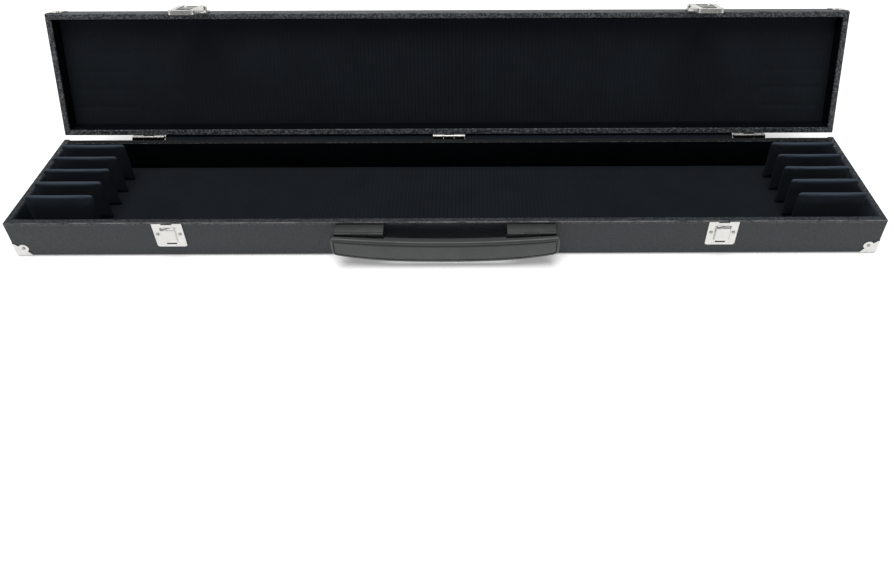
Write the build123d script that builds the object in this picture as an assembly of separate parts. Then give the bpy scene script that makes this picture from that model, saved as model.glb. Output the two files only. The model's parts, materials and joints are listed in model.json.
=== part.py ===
from build123d import *
import os
from math import cos, radians, sin

# Case shell, in millimetres. X runs along the case, the handle faces -Y, Z is up.
case_length = 800.0
case_depth = 127.0
base_height = 41.3
lid_height = 17.8
seam_gap = 0.3
edge_radius = 1.2
covering = 0.7
side_board = 5.0
bottom_board = 4.0
lid_board = 3.0
lining = 0.8
bottom_sheet = 1.3
turn_under = 18.0
floor_pad_thickness = 3.3
lid_pad_thickness = 1.0
back_step = 1.5

# Bow holders: boards that stand on the floor at each end, a little short of the lid's lining
holder_count = 5
holder_thickness = 4.0
holder_length = 64.0
holder_pitch = 19.1
holder_end_gap = 5.5
holder_first = 15.4
holder_lid_gap = 0.45
holder_corner = 2.5

# Nails with round heads, driven through every metal leaf
nail_radius = 0.6
nail_length = 4.2
nail_head_radius = 1.6
nail_head_height = 0.6
nail_head_round = 0.48

# Hinges on the outside of the back
hinge_from_end = 87.0
hinge_width = 33.0
leaf_thickness = 0.8
leaf_height = 13.0
leaf_to_pin = 2.2
pin_offset = 2.3
knuckle_radius = 1.8
hinge_pin_radius = 0.9
pin_clearance = 0.05
knuckle_gap = 0.3
hinge_nail_pitch = 11.5
hinge_nail_side = 6.2
hinge_nail_middle = 8.8
leaf_corner = 2.0
knuckle_web_back = 0.8
knuckle_web_start = 0.5
knuckle_foot = 1.1
knuckle_lap = 1.0
lid_open_angle = 108.0
stop_thickness = 1.2
stop_seat_depth = 3.6
stop_clearance = 0.05
stop_root = 0.2

# Seam strips: leathercloth that joins lid and base between the hinges
strip_thickness = 0.6
strip_glued = 7.0
strip_free = 5.0
strip_hinge_gap = 1.5
strip_clearance = 0.3

# Latches: lid plate, lever and claw, with a catch plate on the base
latch_from_end = 148.0
plate_thickness = 0.8
lid_plate_width = 28.0
lid_plate_low = 1.0
lid_plate_high = 16.5
lid_plate_clip = 4.0
latch_nail_spread = 11.5
lid_nail_height = 12.5
emboss_height = 0.6
emboss_low = 8.2
emboss_high = 13.2
emboss_low_half = 4.0
emboss_high_half = 6.4
ear_thickness = 0.9
ear_radius = 2.4
ear_foot_proud = 2.0
ear_foot_height = 8.0
latch_pin_proud = 5.7
latch_pin_height = 0.5
latch_pin_radius = 0.9
lever_pin_head = 0.8
lever_side_gap = 0.3
lever_sheet = 1.0
lever_proud = 8.2
lever_low = -33.0
lever_high = -2.5
lever_corner = 5.0
lever_flange_proud = 4.0
lever_boss_radius = 2.1
lever_arm_radius = 1.6
window_width = 15.0
window_low = -27.5
claw_throw = 2.6
claw_pin_radius = 0.7
claw_width = 13.0
claw_sheet = 1.0
claw_roll_radius = 1.7
claw_top_above_pin = -0.7
claw_proud_of_pin = 0.5
claw_crease_run = 1.0
claw_crease = -10.5
claw_step = 1.0
claw_hook_gap = 0.3
claw_hook_reach = 2.2
claw_rest_lift = 8.0
catch_width = 27.3
catch_high = -0.5
catch_low = -28.5
catch_corner = 2.5
catch_notch_width = 10.0
catch_notch_depth = 1.2
catch_nail_spread = 10.2
catch_nail_height = -13.0
box_width = 14.0
box_high = -5.5
box_low = -23.5
box_proud = 3.4
box_sheet = 0.8
box_slope = 3.0
box_hollow_low = 1.8
box_hollow_step = 0.4
box_floor = 0.16

# Handle: two fixed tabs, a pin in each, and a bowed grip that swings on them
tab_inner = 55.5
tab_length = 44.5
tab_drop = 4.0
tab_thickness = 4.8
tab_front = 10.8
tab_foot = 2.2
tab_foot_height = 11.0
tab_edge = 1.6
handle_pin_proud = 8.4
handle_pin_below = 2.5
handle_pin_radius = 1.0
handle_pin_inset = 0.5
lug_length = 14.0
lug_radius = 1.9
lug_gap = 0.35
tab_pocket_gap = 0.8
lug_neck_root = 1.0
lug_neck_inside = 0.95
lug_neck_top = 1.0
lug_neck_turn = 4.9
grip_length = 205.0
grip_back = 9.4
grip_front = 17.0
grip_drop = 6.8
grip_top_bow = 3.8
grip_end_height = 24.6
grip_middle_height = 25.0
grip_bottom_corner = 16.0
grip_top_corner = 3.0
grip_edge = 2.8
tab_screw_radius = 1.2
tab_screw_head_radius = 2.4
tab_screw_head_height = 0.8
tab_screw_head_round = 0.48
tab_screw_in_board = 4.0
tab_screw_below = 7.9
tab_screw_spread = 15.0

# Pressed metal corners: three leaves that meet at a corner of the case
corner_leaf = 15.0
corner_thickness = 0.6
corner_lobe_at = 9.3
corner_lobe_radius = 4.6
corner_leaf_end = 3.4
corner_clip = 1.4
corner_nail_at = 9.3

# Lines that the parts share
end_x = case_length / 2
back_y = case_depth / 2
front_y = -back_y
hinge_spacing = end_x - hinge_from_end
latch_spacing = end_x - latch_from_end
wall = covering + side_board + lining
inner_x = end_x - wall
inner_y = back_y - wall
base_low = bottom_sheet
board_low = base_low + covering
floor_low = board_low + bottom_board
floor_z = floor_low + floor_pad_thickness
base_rim = base_height - covering
back_rim = base_rim - back_step
lid_low = base_height + seam_gap
lid_high = lid_low + lid_height
lid_rim = lid_low + covering
lid_board_low = lid_high - covering - lid_board
lid_pad_low = lid_board_low - lid_pad_thickness
board_x = end_x - covering
board_y = back_y - covering
hinge_y = back_y + pin_offset
hinge_z = base_height + seam_gap / 2
tab_high = base_height - tab_drop
tab_low = tab_high - tab_thickness
handle_pin_height = tab_high - handle_pin_below
grip_top_end = base_height - grip_drop
grip_top_middle = grip_top_end - grip_top_bow
grip_bottom_end = grip_top_end - grip_end_height
grip_bottom_middle = grip_top_middle - grip_middle_height


def block(x0, x1, y0, y1, z0, z1):
    """A box between two corners."""
    centre = Pos((x0 + x1) / 2, (y0 + y1) / 2, (z0 + z1) / 2)
    return centre * Box(abs(x1 - x0), abs(y1 - y0), abs(z1 - z0))


def rod(centre, radius, length, direction):
    """A round bar that starts at centre and runs along direction."""
    return Plane(origin=centre, z_dir=direction) * extrude(Circle(radius), length)


def bar_along_x(x0, x1, y, z, radius):
    """A round bar along X."""
    return rod((x0, y, z), radius, x1 - x0, (1, 0, 0))


def prism_along_x(points, x0, x1):
    """A straight prism along X, with a polygon of (y, z) points as its section."""
    face = make_face(Polyline(*points, close=True))
    return Pos(x0, 0, 0) * (Plane.YZ * extrude(face, x1 - x0))


def whole(pieces):
    """Separate pieces as one group."""
    return Compound(children=list(pieces))


def opened(shape):
    """Carries a shape from the closed lid to the lid at rest, open on its stops."""
    turn = Pos(0, hinge_y, hinge_z) * Rot(-lid_open_angle, 0, 0) * Pos(0, -hinge_y, -hinge_z)
    return turn * shape


def without(shape, tools):
    """Cuts a list of tools out of a shape."""
    for tool in tools:
        shape = shape - tool
    return shape


# Outer shells of the two halves, with their rounded edges
def base_body():
    body = block(-end_x, end_x, front_y, back_y, base_low, base_height)
    low_edges = body.edges().group_by(Axis.Z)[0]
    return fillet(low_edges + body.edges().filter_by(Axis.Z), edge_radius)


def lid_body():
    body = block(-end_x, end_x, front_y, back_y, lid_low, lid_high)
    high_edges = body.edges().group_by(Axis.Z)[-1]
    return fillet(high_edges + body.edges().filter_by(Axis.Z), edge_radius)


def base_boards():
    """The base's five boards. The back board is lower, between the side boards."""
    side_y = front_y + covering + side_board
    side_x = board_x - side_board
    return {
        "base_bottom_board": block(-board_x, board_x, -board_y, board_y, board_low, floor_low),
        "base_front_board": block(-board_x, board_x, -board_y, side_y, floor_low, base_rim),
        "base_left_board": block(-board_x, -side_x, side_y, board_y, floor_low, base_rim),
        "base_right_board": block(side_x, board_x, side_y, board_y, floor_low, base_rim),
        "base_back_board": block(-side_x, side_x, board_y - side_board, board_y, floor_low, back_rim),
    }


def base_side_covering():
    """Leathercloth round the outside, over the rim and turned under the bottom."""
    side_x = board_x - side_board
    shell = base_body()
    shell -= block(-board_x, board_x, -board_y, board_y, board_low, base_rim)
    shell -= block(-inner_x, inner_x, -inner_y, inner_y, base_rim, base_height)
    under_x = end_x - turn_under
    under_y = back_y - turn_under
    shell -= block(-under_x, under_x, -under_y, under_y, base_low, board_low)
    shell -= block(-side_x, side_x, inner_y, back_y, back_rim, base_height)
    return shell + block(-side_x, side_x, inner_y, back_y, back_rim, back_rim + covering)


def base_bottom_sheet():
    under_x = end_x - turn_under
    under_y = back_y - turn_under
    return block(-under_x, under_x, -under_y, under_y, 0, board_low)


def wall_lining(low, high, back_high):
    """Plush on the four inner walls, as four separate strips."""
    face_x = inner_x + lining
    face_y = inner_y + lining
    return [
        block(-face_x, face_x, -face_y, -inner_y, low, high),
        block(-face_x, face_x, inner_y, face_y, low, back_high),
        block(-face_x, -inner_x, -inner_y, inner_y, low, high),
        block(inner_x, face_x, -inner_y, inner_y, low, high),
    ]


def bow_holder(side, index):
    """One padded board. Its low corners are square and its top corners are rounded."""
    near = front_y + wall + holder_first + index * holder_pitch
    outer = inner_x - holder_end_gap
    top = lid_pad_low - holder_lid_gap
    board = block(outer - holder_length, outer, near, near + holder_thickness, floor_z, top)
    high_edges = board.edges().filter_by(Axis.Y).group_by(Axis.Z)[-1]
    board = fillet(high_edges, holder_corner)
    if side < 0:
        board = mirror(board, about=Plane.YZ)
    return board


def lid_boards():
    """The lid's four walls and its top, for the closed lid."""
    side_y = board_y - side_board
    side_x = board_x - side_board
    low = lid_rim
    high = lid_board_low
    return {
        "lid_top_board": block(-board_x, board_x, -board_y, board_y, high, lid_high - covering),
        "lid_front_board": block(-board_x, board_x, -board_y, -side_y, low, high),
        "lid_back_board": block(-board_x, board_x, side_y, board_y, low, high),
        "lid_left_board": block(-board_x, -side_x, -side_y, side_y, low, high),
        "lid_right_board": block(side_x, board_x, -side_y, side_y, low, high),
    }


def lid_covering():
    shell = lid_body()
    shell -= block(-board_x, board_x, -board_y, board_y, lid_rim, lid_high - covering)
    return shell - block(-inner_x, inner_x, -inner_y, inner_y, lid_low, lid_rim)


# Nails and screws
def nail(place, outward):
    """A round-headed nail. Its place is the middle of the seat under its head."""
    head = extrude(Circle(nail_head_radius), nail_head_height)
    head = fillet(head.edges().group_by(Axis.Z)[-1], nail_head_round)
    shank = Pos(0, 0, -nail_length) * extrude(Circle(nail_radius), nail_length)
    return Plane(origin=place, z_dir=outward) * (head + shank)


def corner_nails(low_or_high_z, up):
    """Three nails for each of the four metal corners at one height."""
    nails = []
    for sx in (-1, 1):
        for sy in (-1, 1):
            x = sx * (end_x - corner_nail_at)
            y = sy * (back_y - corner_nail_at)
            z = low_or_high_z - up * corner_nail_at
            seat = corner_thickness
            nails.append(nail((x, y, low_or_high_z + up * seat), (0, 0, up)))
            nails.append(nail((x, sy * (back_y + seat), z), (0, sy, 0)))
            nails.append(nail((sx * (end_x + seat), y, z), (sx, 0, 0)))
    return nails


def hinge_nails(up):
    """Three nails a leaf. up is 1 for the lid's leaf and -1 for the base's."""
    nails = []
    for place in (-hinge_spacing, 0, hinge_spacing):
        for step in (-1, 0, 1):
            height = leaf_to_pin + (hinge_nail_middle if step == 0 else hinge_nail_side)
            spot = (place + step * hinge_nail_pitch, back_y + leaf_thickness, hinge_z + up * height)
            nails.append(nail(spot, (0, 1, 0)))
    return nails


def latch_nails(spread, height):
    nails = []
    for place in (-latch_spacing, latch_spacing):
        for side in (-1, 1):
            spot = (place + side * spread, front_y - plate_thickness, base_height + height)
            nails.append(nail(spot, (0, -1, 0)))
    return nails


def tab_screws():
    """Two screws hold the foot of each handle tab."""
    screws = []
    for side in (-1, 1):
        middle = side * (tab_inner + tab_length / 2)
        for step in (-1, 1):
            place = (middle + step * tab_screw_spread, front_y - tab_foot, tab_high - tab_screw_below)
            length = tab_foot + covering + tab_screw_in_board
            head = extrude(Circle(tab_screw_head_radius), tab_screw_head_height)
            head = fillet(head.edges().group_by(Axis.Z)[-1], tab_screw_head_round)
            shank = Pos(0, 0, -length) * extrude(Circle(tab_screw_radius), length)
            screws.append(Plane(origin=place, z_dir=(0, -1, 0)) * (head + shank))
    return screws


# Hinges
def knuckle_spans(place):
    """Base, lid and base knuckles along the pin, with a gap between them."""
    left = place - hinge_width / 2
    third = (hinge_width - 2 * knuckle_gap) / 3
    spans = []
    for index in range(3):
        start = left + index * (third + knuckle_gap)
        spans.append((start, start + third))
    return spans


def knuckle(span, up):
    """One rolled knuckle with the web that joins it to its leaf."""
    x0, x1 = span
    barrel = bar_along_x(x0, x1, hinge_y, hinge_z, knuckle_radius)
    outer = hinge_y - knuckle_web_back
    web = block(x0, x1, back_y, outer, hinge_z + up * knuckle_web_start, hinge_z + up * leaf_to_pin)
    foot = block(x0, x1, back_y, back_y + leaf_thickness, hinge_z + up * knuckle_foot,
                 hinge_z + up * (leaf_to_pin + knuckle_lap))
    return barrel + web + foot


def hinge_leaf(place, up):
    """A flat leaf and its knuckles, two on the base and one on the lid."""
    low = hinge_z + up * leaf_to_pin
    high = hinge_z + up * (leaf_to_pin + leaf_height)
    leaf = block(place - hinge_width / 2, place + hinge_width / 2, back_y, back_y + leaf_thickness, low, high)
    leaf = fillet(leaf.edges().filter_by(Axis.Y).group_by(Axis.Z)[-1 if up > 0 else 0], leaf_corner)
    spans = knuckle_spans(place)
    own = spans[1:2] if up > 0 else spans[0::2]
    for span in own:
        leaf = leaf + knuckle(span, up)
    bore = hinge_pin_radius + pin_clearance
    leaf = leaf - bar_along_x(place - hinge_width, place + hinge_width, hinge_y, hinge_z, bore)
    if up > 0:
        leaf = leaf + stop_nib(spans[1])
    return leaf


def stop_nib(span):
    """A nib on the lid's knuckle that meets the base leaf when the lid is fully open."""
    angle = radians(lid_open_angle)
    reach = pin_offset - leaf_thickness - stop_clearance
    tip_y = -reach
    tip_z = -stop_seat_depth
    closed_y = tip_y * cos(angle) - tip_z * sin(angle)
    closed_z = tip_y * sin(angle) + tip_z * cos(angle)
    top_y = tip_y * cos(angle) + leaf_to_pin * sin(angle)
    top_z = tip_y * sin(angle) - leaf_to_pin * cos(angle)
    along = Vector(closed_y - top_y, closed_z - top_z).normalized()
    across = Vector(-along.Y, along.X)
    if across.X * top_y + across.Y * top_z > 0:
        across = across * -1
    bore = hinge_pin_radius + pin_clearance
    tip = Vector(closed_y, closed_z)
    root = tip - along * (stop_seat_depth - stop_root)
    inner = across * stop_thickness
    points = [root, tip, tip + inner, root + inner]
    nib = prism_along_x([(hinge_y + p.X, hinge_z + p.Y) for p in points], *span)
    return nib - bar_along_x(span[0] - 1, span[1] + 1, hinge_y, hinge_z, bore)


def hinge_pin(place):
    return bar_along_x(place - hinge_width / 2, place + hinge_width / 2, hinge_y, hinge_z, hinge_pin_radius)


def seam_strip(side):
    """A fold of cloth between two hinges: glued to the base, past the pin line, up to the lid."""
    x0 = hinge_width / 2 + strip_hinge_gap
    x1 = hinge_spacing - hinge_width / 2 - strip_hinge_gap
    angle = radians(lid_open_angle)
    reach = pin_offset - strip_clearance
    lid_start = (-reach * cos(angle) + strip_free * sin(angle), reach * sin(angle) + strip_free * cos(angle))
    lid_run = (sin(angle), cos(angle))
    lid_end = (lid_start[0] + strip_glued * lid_run[0], lid_start[1] + strip_glued * lid_run[1])
    lid_out = (-cos(angle), sin(angle))
    thick = strip_thickness
    low = hinge_z - strip_free
    points = [
        (back_y, low - strip_glued),
        (back_y, low),
        (hinge_y - thick / 2, hinge_z + thick / 4),
        (hinge_y + lid_start[0], hinge_z + lid_start[1]),
        (hinge_y + lid_end[0], hinge_z + lid_end[1]),
        (hinge_y + lid_end[0] - thick * lid_out[0], hinge_z + lid_end[1] - thick * lid_out[1]),
        (hinge_y + lid_start[0] - thick * lid_out[0], hinge_z + lid_start[1] - thick * lid_out[1]),
        (hinge_y + thick / 2, hinge_z - thick),
        (back_y + thick, low),
        (back_y + thick, low - strip_glued),
    ]
    strip = prism_along_x(points, x0, x1)
    if side < 0:
        strip = mirror(strip, about=Plane.YZ)
    return strip


# Latches, drawn at x = 0 with v out from the front face and w up from the base's rim
def latch_block(u0, u1, v0, v1, w0, w1):
    return block(u0, u1, front_y - v0, front_y - v1, base_height + w0, base_height + w1)


def latch_bar(u0, u1, v, w, radius):
    return bar_along_x(u0, u1, front_y - v, base_height + w, radius)


def front_plate(points, thickness):
    """A plate on the front face, from a polygon of (u, w) points."""
    face = make_face(Polyline(*points, close=True))
    plate = Plane.XZ * extrude(face, thickness)
    return Pos(0, front_y, base_height) * plate


def latch_plate():
    half = lid_plate_width / 2
    clip = lid_plate_clip
    plate = front_plate([(-half, lid_plate_low), (half, lid_plate_low), (half, lid_plate_high - clip),
                         (half - clip, lid_plate_high), (-half + clip, lid_plate_high),
                         (-half, lid_plate_high - clip)], plate_thickness)
    crest = front_plate([(-emboss_low_half, emboss_low), (emboss_low_half, emboss_low),
                         (emboss_high_half, emboss_high), (-emboss_high_half, emboss_high)],
                        plate_thickness + emboss_height)
    plate = plate + crest
    for side in (-1, 1):
        outer = side * half
        inner = side * (half - ear_thickness)
        u0, u1 = min(outer, inner), max(outer, inner)
        boss = latch_bar(u0, u1, latch_pin_proud, latch_pin_height, ear_radius)
        web = latch_block(u0, u1, 0, latch_pin_proud, lid_plate_low, latch_pin_height + ear_radius)
        heel = latch_block(u0, u1, 0, ear_foot_proud, lid_plate_low, lid_plate_low + ear_foot_height)
        plate = plate + boss + web + heel
    plate = plate - latch_bar(-half - 1, half + 1, latch_pin_proud, latch_pin_height,
                              latch_pin_radius + pin_clearance)
    return plate


def lever_half_width():
    return lid_plate_width / 2 - ear_thickness - lever_side_gap


def lever():
    """A pressed lever: a dished frame round the claw's window, with two side flanges."""
    half = lever_half_width()
    back = lever_proud - lever_sheet
    front = latch_block(-half, half, back, lever_proud, lever_low, lever_high)
    front = fillet(front.edges().filter_by(Axis.Y).group_by(Axis.Z)[0], lever_corner)
    window = window_width / 2
    front = front - latch_block(-window, window, back - 1, lever_proud + 1, window_low, lever_high + 1)
    shape = front
    for side in (-1, 1):
        u0, u1 = sorted((side * half, side * (half - lever_sheet)))
        flange = latch_block(u0, u1, lever_flange_proud, back + lever_sheet / 2, lever_low + lever_corner,
                             latch_pin_height)
        boss = latch_bar(u0, u1, latch_pin_proud, latch_pin_height, lever_boss_radius)
        arm = latch_bar(u0, u1, latch_pin_proud, latch_pin_height + claw_throw, lever_arm_radius)
        shoulder = latch_block(u0, u1, latch_pin_proud, back + lever_sheet / 2, lever_high - 1,
                               latch_pin_height)
        shape = shape + flange + boss + arm + shoulder
    shape = shape - latch_bar(-half - 1, half + 1, latch_pin_proud, latch_pin_height,
                              latch_pin_radius + pin_clearance)
    return shape - latch_bar(-half - 1, half + 1, latch_pin_proud, latch_pin_height + claw_throw,
                             claw_pin_radius)


def claw_points():
    """Section of the claw, from the roll down to the hook under the catch box."""
    top = latch_pin_height + claw_throw + claw_top_above_pin
    outer = latch_pin_proud + claw_proud_of_pin
    inner = outer - claw_sheet
    low_outer = outer - claw_step
    low_inner = low_outer - claw_sheet
    hook_top = box_low - claw_hook_gap
    hook_low = hook_top - claw_sheet
    hook_tip = claw_hook_reach
    crease_low = claw_crease - claw_crease_run
    return [(outer, top), (outer, claw_crease), (low_outer, crease_low), (low_outer, hook_low),
            (hook_tip, hook_low), (hook_tip, hook_top), (low_inner, hook_top),
            (low_inner, crease_low), (inner, claw_crease), (inner, top)]


def claw():
    half = claw_width / 2
    points = [(front_y - v, base_height + w) for v, w in claw_points()]
    sheet = prism_along_x(points, -half, half)
    height = latch_pin_height + claw_throw
    roll = latch_bar(-half, half, latch_pin_proud, height, claw_roll_radius)
    hook = sheet + roll
    hook = hook - latch_bar(-half - 1, half + 1, latch_pin_proud, height, claw_pin_radius + pin_clearance)
    pin_y = front_y - latch_pin_proud
    pin_z = base_height + height
    lift = Pos(0, pin_y, pin_z) * Rot(-claw_rest_lift, 0, 0) * Pos(0, -pin_y, -pin_z)
    return lift * hook


def lever_pins():
    """Two short rivets, one in each ear, that stop short of the claw."""
    pins = []
    for side in (-1, 1):
        outer = lid_plate_width / 2
        inner = lever_half_width() - lever_sheet - lever_pin_head
        u0, u1 = sorted((side * inner, side * outer))
        pins.append(latch_bar(u0, u1, latch_pin_proud, latch_pin_height, latch_pin_radius))
    return pins


def claw_pin():
    half = lever_half_width()
    return latch_bar(-half, half, latch_pin_proud, latch_pin_height + claw_throw, claw_pin_radius)


def catch_plate():
    """Plate with a raised box, open below, that the claw hooks under."""
    half = catch_width / 2
    plate = latch_block(-half, half, 0, plate_thickness, catch_low, catch_high)
    plate = fillet(plate.edges().filter_by(Axis.Y).group_by(Axis.Z)[0], catch_corner)
    notch = catch_notch_width / 2
    plate = plate - latch_block(-notch, notch, -1, plate_thickness + 1, catch_high - catch_notch_depth,
                                catch_high + 1)
    width = box_width / 2
    back = box_proud - box_sheet
    section = [(0, box_high), (plate_thickness, box_high), (box_proud, box_high - box_slope),
               (box_proud, box_low), (0, box_low)]
    roof = box_high - box_hollow_low
    hollow = [(-1, roof), (box_floor, roof), (back, box_high - box_slope - box_hollow_step),
              (back, box_low - 1), (-1, box_low - 1)]
    solid = prism_along_x([(front_y - v, base_height + w) for v, w in section], -width, width)
    inside = prism_along_x([(front_y - v, base_height + w) for v, w in hollow],
                           -width + box_sheet, width - box_sheet)
    return plate + solid - (inside & latch_block(-half, half, 0, box_proud, box_low - 1, box_high))


def put_latch(shape, side):
    return Pos(side * latch_spacing, 0, 0) * shape


# Handle
def handle_tab(side):
    """A tab with a foot on the case and a slot below for the grip's lug."""
    x0 = tab_inner
    x1 = tab_inner + tab_length
    tab = block(x0, x1, front_y - tab_front, front_y, tab_low, tab_high)
    front_edges = tab.edges().filter_by(Axis.X).group_by(Axis.Y)[0]
    tab = fillet(front_edges, tab_edge)
    foot = block(x0, x1, front_y - tab_foot, front_y, tab_high - tab_foot_height, tab_high)
    tab = tab + foot
    pin_y = front_y - handle_pin_proud
    tab = tab - bar_along_x(x0 - 1, x1 + 1, pin_y, handle_pin_height, handle_pin_radius)
    middle = (x0 + x1) / 2
    half = lug_length / 2 + lug_gap
    reach = lug_radius + lug_gap
    slot = bar_along_x(middle - half, middle + half, pin_y, handle_pin_height, reach)
    past = pin_y - 2 * reach
    slot += block(middle - half, middle + half, pin_y + reach, past, tab_low - 1, handle_pin_height)
    slot += block(middle - half, middle + half, pin_y, past, tab_low - 1, handle_pin_height + reach)
    tab = tab - slot
    if side < 0:
        tab = mirror(tab, about=Plane.YZ)
    return tab


def handle_pin(side):
    x0 = tab_inner + handle_pin_inset
    x1 = tab_inner + tab_length - handle_pin_inset
    x0, x1 = sorted((side * x0, side * x1))
    return bar_along_x(x0, x1, front_y - handle_pin_proud, handle_pin_height, handle_pin_radius)


def lug_neck_points():
    """Section of a lug's neck, out from the pin and down from it. It stays slimmer than the slot."""
    slim = lug_radius - lug_gap
    back = grip_back - handle_pin_proud
    low = grip_edge * 2 + lug_neck_root
    return [(-lug_neck_inside, lug_radius), (slim, lug_neck_top), (slim, 2 * lug_radius),
            (slim + lug_neck_root, lug_neck_turn), (back + lug_neck_root, low), (back, low)]


def grip():
    """The bowed grip with rounded edges, its two lugs and the pockets round the tabs."""
    half = grip_length / 2
    outline = Curve() + [
        ThreePointArc((-half, grip_top_end), (0, grip_top_middle), (half, grip_top_end)),
        Line((half, grip_top_end), (half, grip_bottom_end)),
        ThreePointArc((half, grip_bottom_end), (0, grip_bottom_middle), (-half, grip_bottom_end)),
        Line((-half, grip_bottom_end), (-half, grip_top_end)),
    ]
    face = make_face(outline)
    body = Pos(0, front_y - grip_back, 0) * (Plane.XZ * extrude(face, grip_front - grip_back))
    upright = body.edges().filter_by(Axis.Y).sort_by(Axis.Z)
    body = fillet(upright[:2], grip_bottom_corner)
    upright = body.edges().filter_by(Axis.Y).sort_by(Axis.Z)
    body = fillet(upright[-2:], grip_top_corner)
    outer_edges = body.edges().group_by(Axis.Y)[0] + body.edges().group_by(Axis.Y)[-1]
    body = fillet(outer_edges, grip_edge)
    pin_y = front_y - handle_pin_proud
    for side in (-1, 1):
        x0, x1 = sorted((side * (tab_inner - 2 * lug_gap), side * (tab_inner + tab_length + 2 * lug_gap)))
        round_tab = tab_high - handle_pin_height + tab_pocket_gap
        pocket = bar_along_x(x0, x1, pin_y, handle_pin_height, round_tab)
        pocket += block(x0, x1, pin_y, pin_y - round_tab, handle_pin_height, grip_top_end + 1)
        body = body - pocket
    for side in (-1, 1):
        middle = side * (tab_inner + tab_length / 2)
        x0 = middle - lug_length / 2
        x1 = middle + lug_length / 2
        lug = bar_along_x(x0, x1, pin_y, handle_pin_height, lug_radius)
        neck = [(pin_y - v, handle_pin_height - drop) for v, drop in lug_neck_points()]
        body = body + lug + prism_along_x(neck, x0, x1)
        body = body - bar_along_x(x0 - 1, x1 + 1, pin_y, handle_pin_height, handle_pin_radius + pin_clearance)
    return body


# Metal corners, drawn at the +X +Y top corner of a block
def corner_outline(out):
    """One leaf: a corner triangle with a round lobe over the nail."""
    leaf = corner_leaf
    end = corner_leaf_end
    clip = corner_clip
    sheet = make_face(Polyline((-out, -out), (leaf, -out), (leaf, clip), (leaf - clip, end),
                               (end, leaf - clip), (clip, leaf), (-out, leaf), close=True))
    return sheet + Pos(corner_lobe_at, corner_lobe_at) * Circle(corner_lobe_radius)


def corner_shape(body_edge, thickness):
    """A corner at the origin, for a case that fills x, y and z below zero."""
    size = corner_leaf * 2
    out = thickness
    outer = block(-size, out, -size, out, -size, out)
    inner = block(-size, 0, -size, 0, -size, 0)
    outer = fillet(outer.edges().filter_by(lambda e: is_outer(e, out)), body_edge + thickness)
    inner = fillet(inner.edges().filter_by(lambda e: is_outer(e, 0)), body_edge)
    skin = outer - inner
    outline = extrude(corner_outline(out), out + body_edge + thickness)
    depth = body_edge + thickness
    leaf_z = Pos(0, 0, -depth) * (Rot(0, 0, 180) * outline)
    leaf_x = Pos(-depth, 0, 0) * (Plane.YZ * (Rot(0, 0, 180) * outline))
    leaf_y = Pos(0, -depth, 0) * (Plane.ZX * (Rot(0, 0, 180) * outline))
    return (skin & leaf_z) + (skin & leaf_x) + (skin & leaf_y)


def is_outer(edge, level):
    """True for the three edges that meet at the corner."""
    middle = edge.position_at(0.5)
    near = [abs(value - level) < 1e-6 for value in (middle.X, middle.Y, middle.Z)]
    return sum(near) == 2


def metal_corners(prefix, z, up):
    shape = corner_shape(edge_radius, corner_thickness)
    if up < 0:
        shape = mirror(shape, about=Plane.XY)
    nodes = {}
    for sx, x_name in ((-1, "left"), (1, "right")):
        for sy, y_name in ((-1, "front"), (1, "back")):
            placed = shape
            if sx < 0:
                placed = mirror(placed, about=Plane.YZ)
            if sy < 0:
                placed = mirror(placed, about=Plane.XZ)
            nodes[f"{prefix}_corner_{y_name}_{x_name}"] = Pos(sx * end_x, sy * back_y, z) * placed
    return nodes


# The whole case
def build_base():
    nails = latch_nails(catch_nail_spread, catch_nail_height) + hinge_nails(-1) + corner_nails(base_low, -1)
    screws = tab_screws()
    nodes = base_boards()
    nodes["base_side_covering"] = base_side_covering()
    nodes["base_bottom_sheet"] = base_bottom_sheet()
    nodes.update(metal_corners("base", base_low, -1))
    for side, name in ((-1, "left"), (1, "right")):
        nodes[f"catch_plate_{name}"] = put_latch(catch_plate(), side)
        nodes[f"handle_tab_{name}"] = handle_tab(side)
    for place, name in ((-hinge_spacing, "left"), (0, "middle"), (hinge_spacing, "right")):
        nodes[f"hinge_base_leaf_{name}"] = hinge_leaf(place, -1)
    for name in list(nodes):
        nodes[name] = without(nodes[name], near_tools(nodes[name], nails + screws))
    nodes["base_fasteners"] = whole(nails + screws)
    nodes["floor_pad"] = block(-inner_x, inner_x, -inner_y, inner_y, floor_low, floor_z)
    nodes["base_wall_lining"] = whole(wall_lining(floor_low, base_rim, back_rim))
    for side, name in ((-1, "left"), (1, "right")):
        for index in range(holder_count):
            nodes[f"bow_holder_{name}_{index + 1}"] = bow_holder(side, index)
    nodes["hinge_pins"] = whole(hinge_pin(place) for place in (-hinge_spacing, 0, hinge_spacing))
    nodes["handle_pins"] = whole(handle_pin(side) for side in (-1, 1))
    nodes["seam_strips"] = whole(seam_strip(side) for side in (-1, 1))
    nodes["handle_grip"] = grip()
    return nodes


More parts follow.
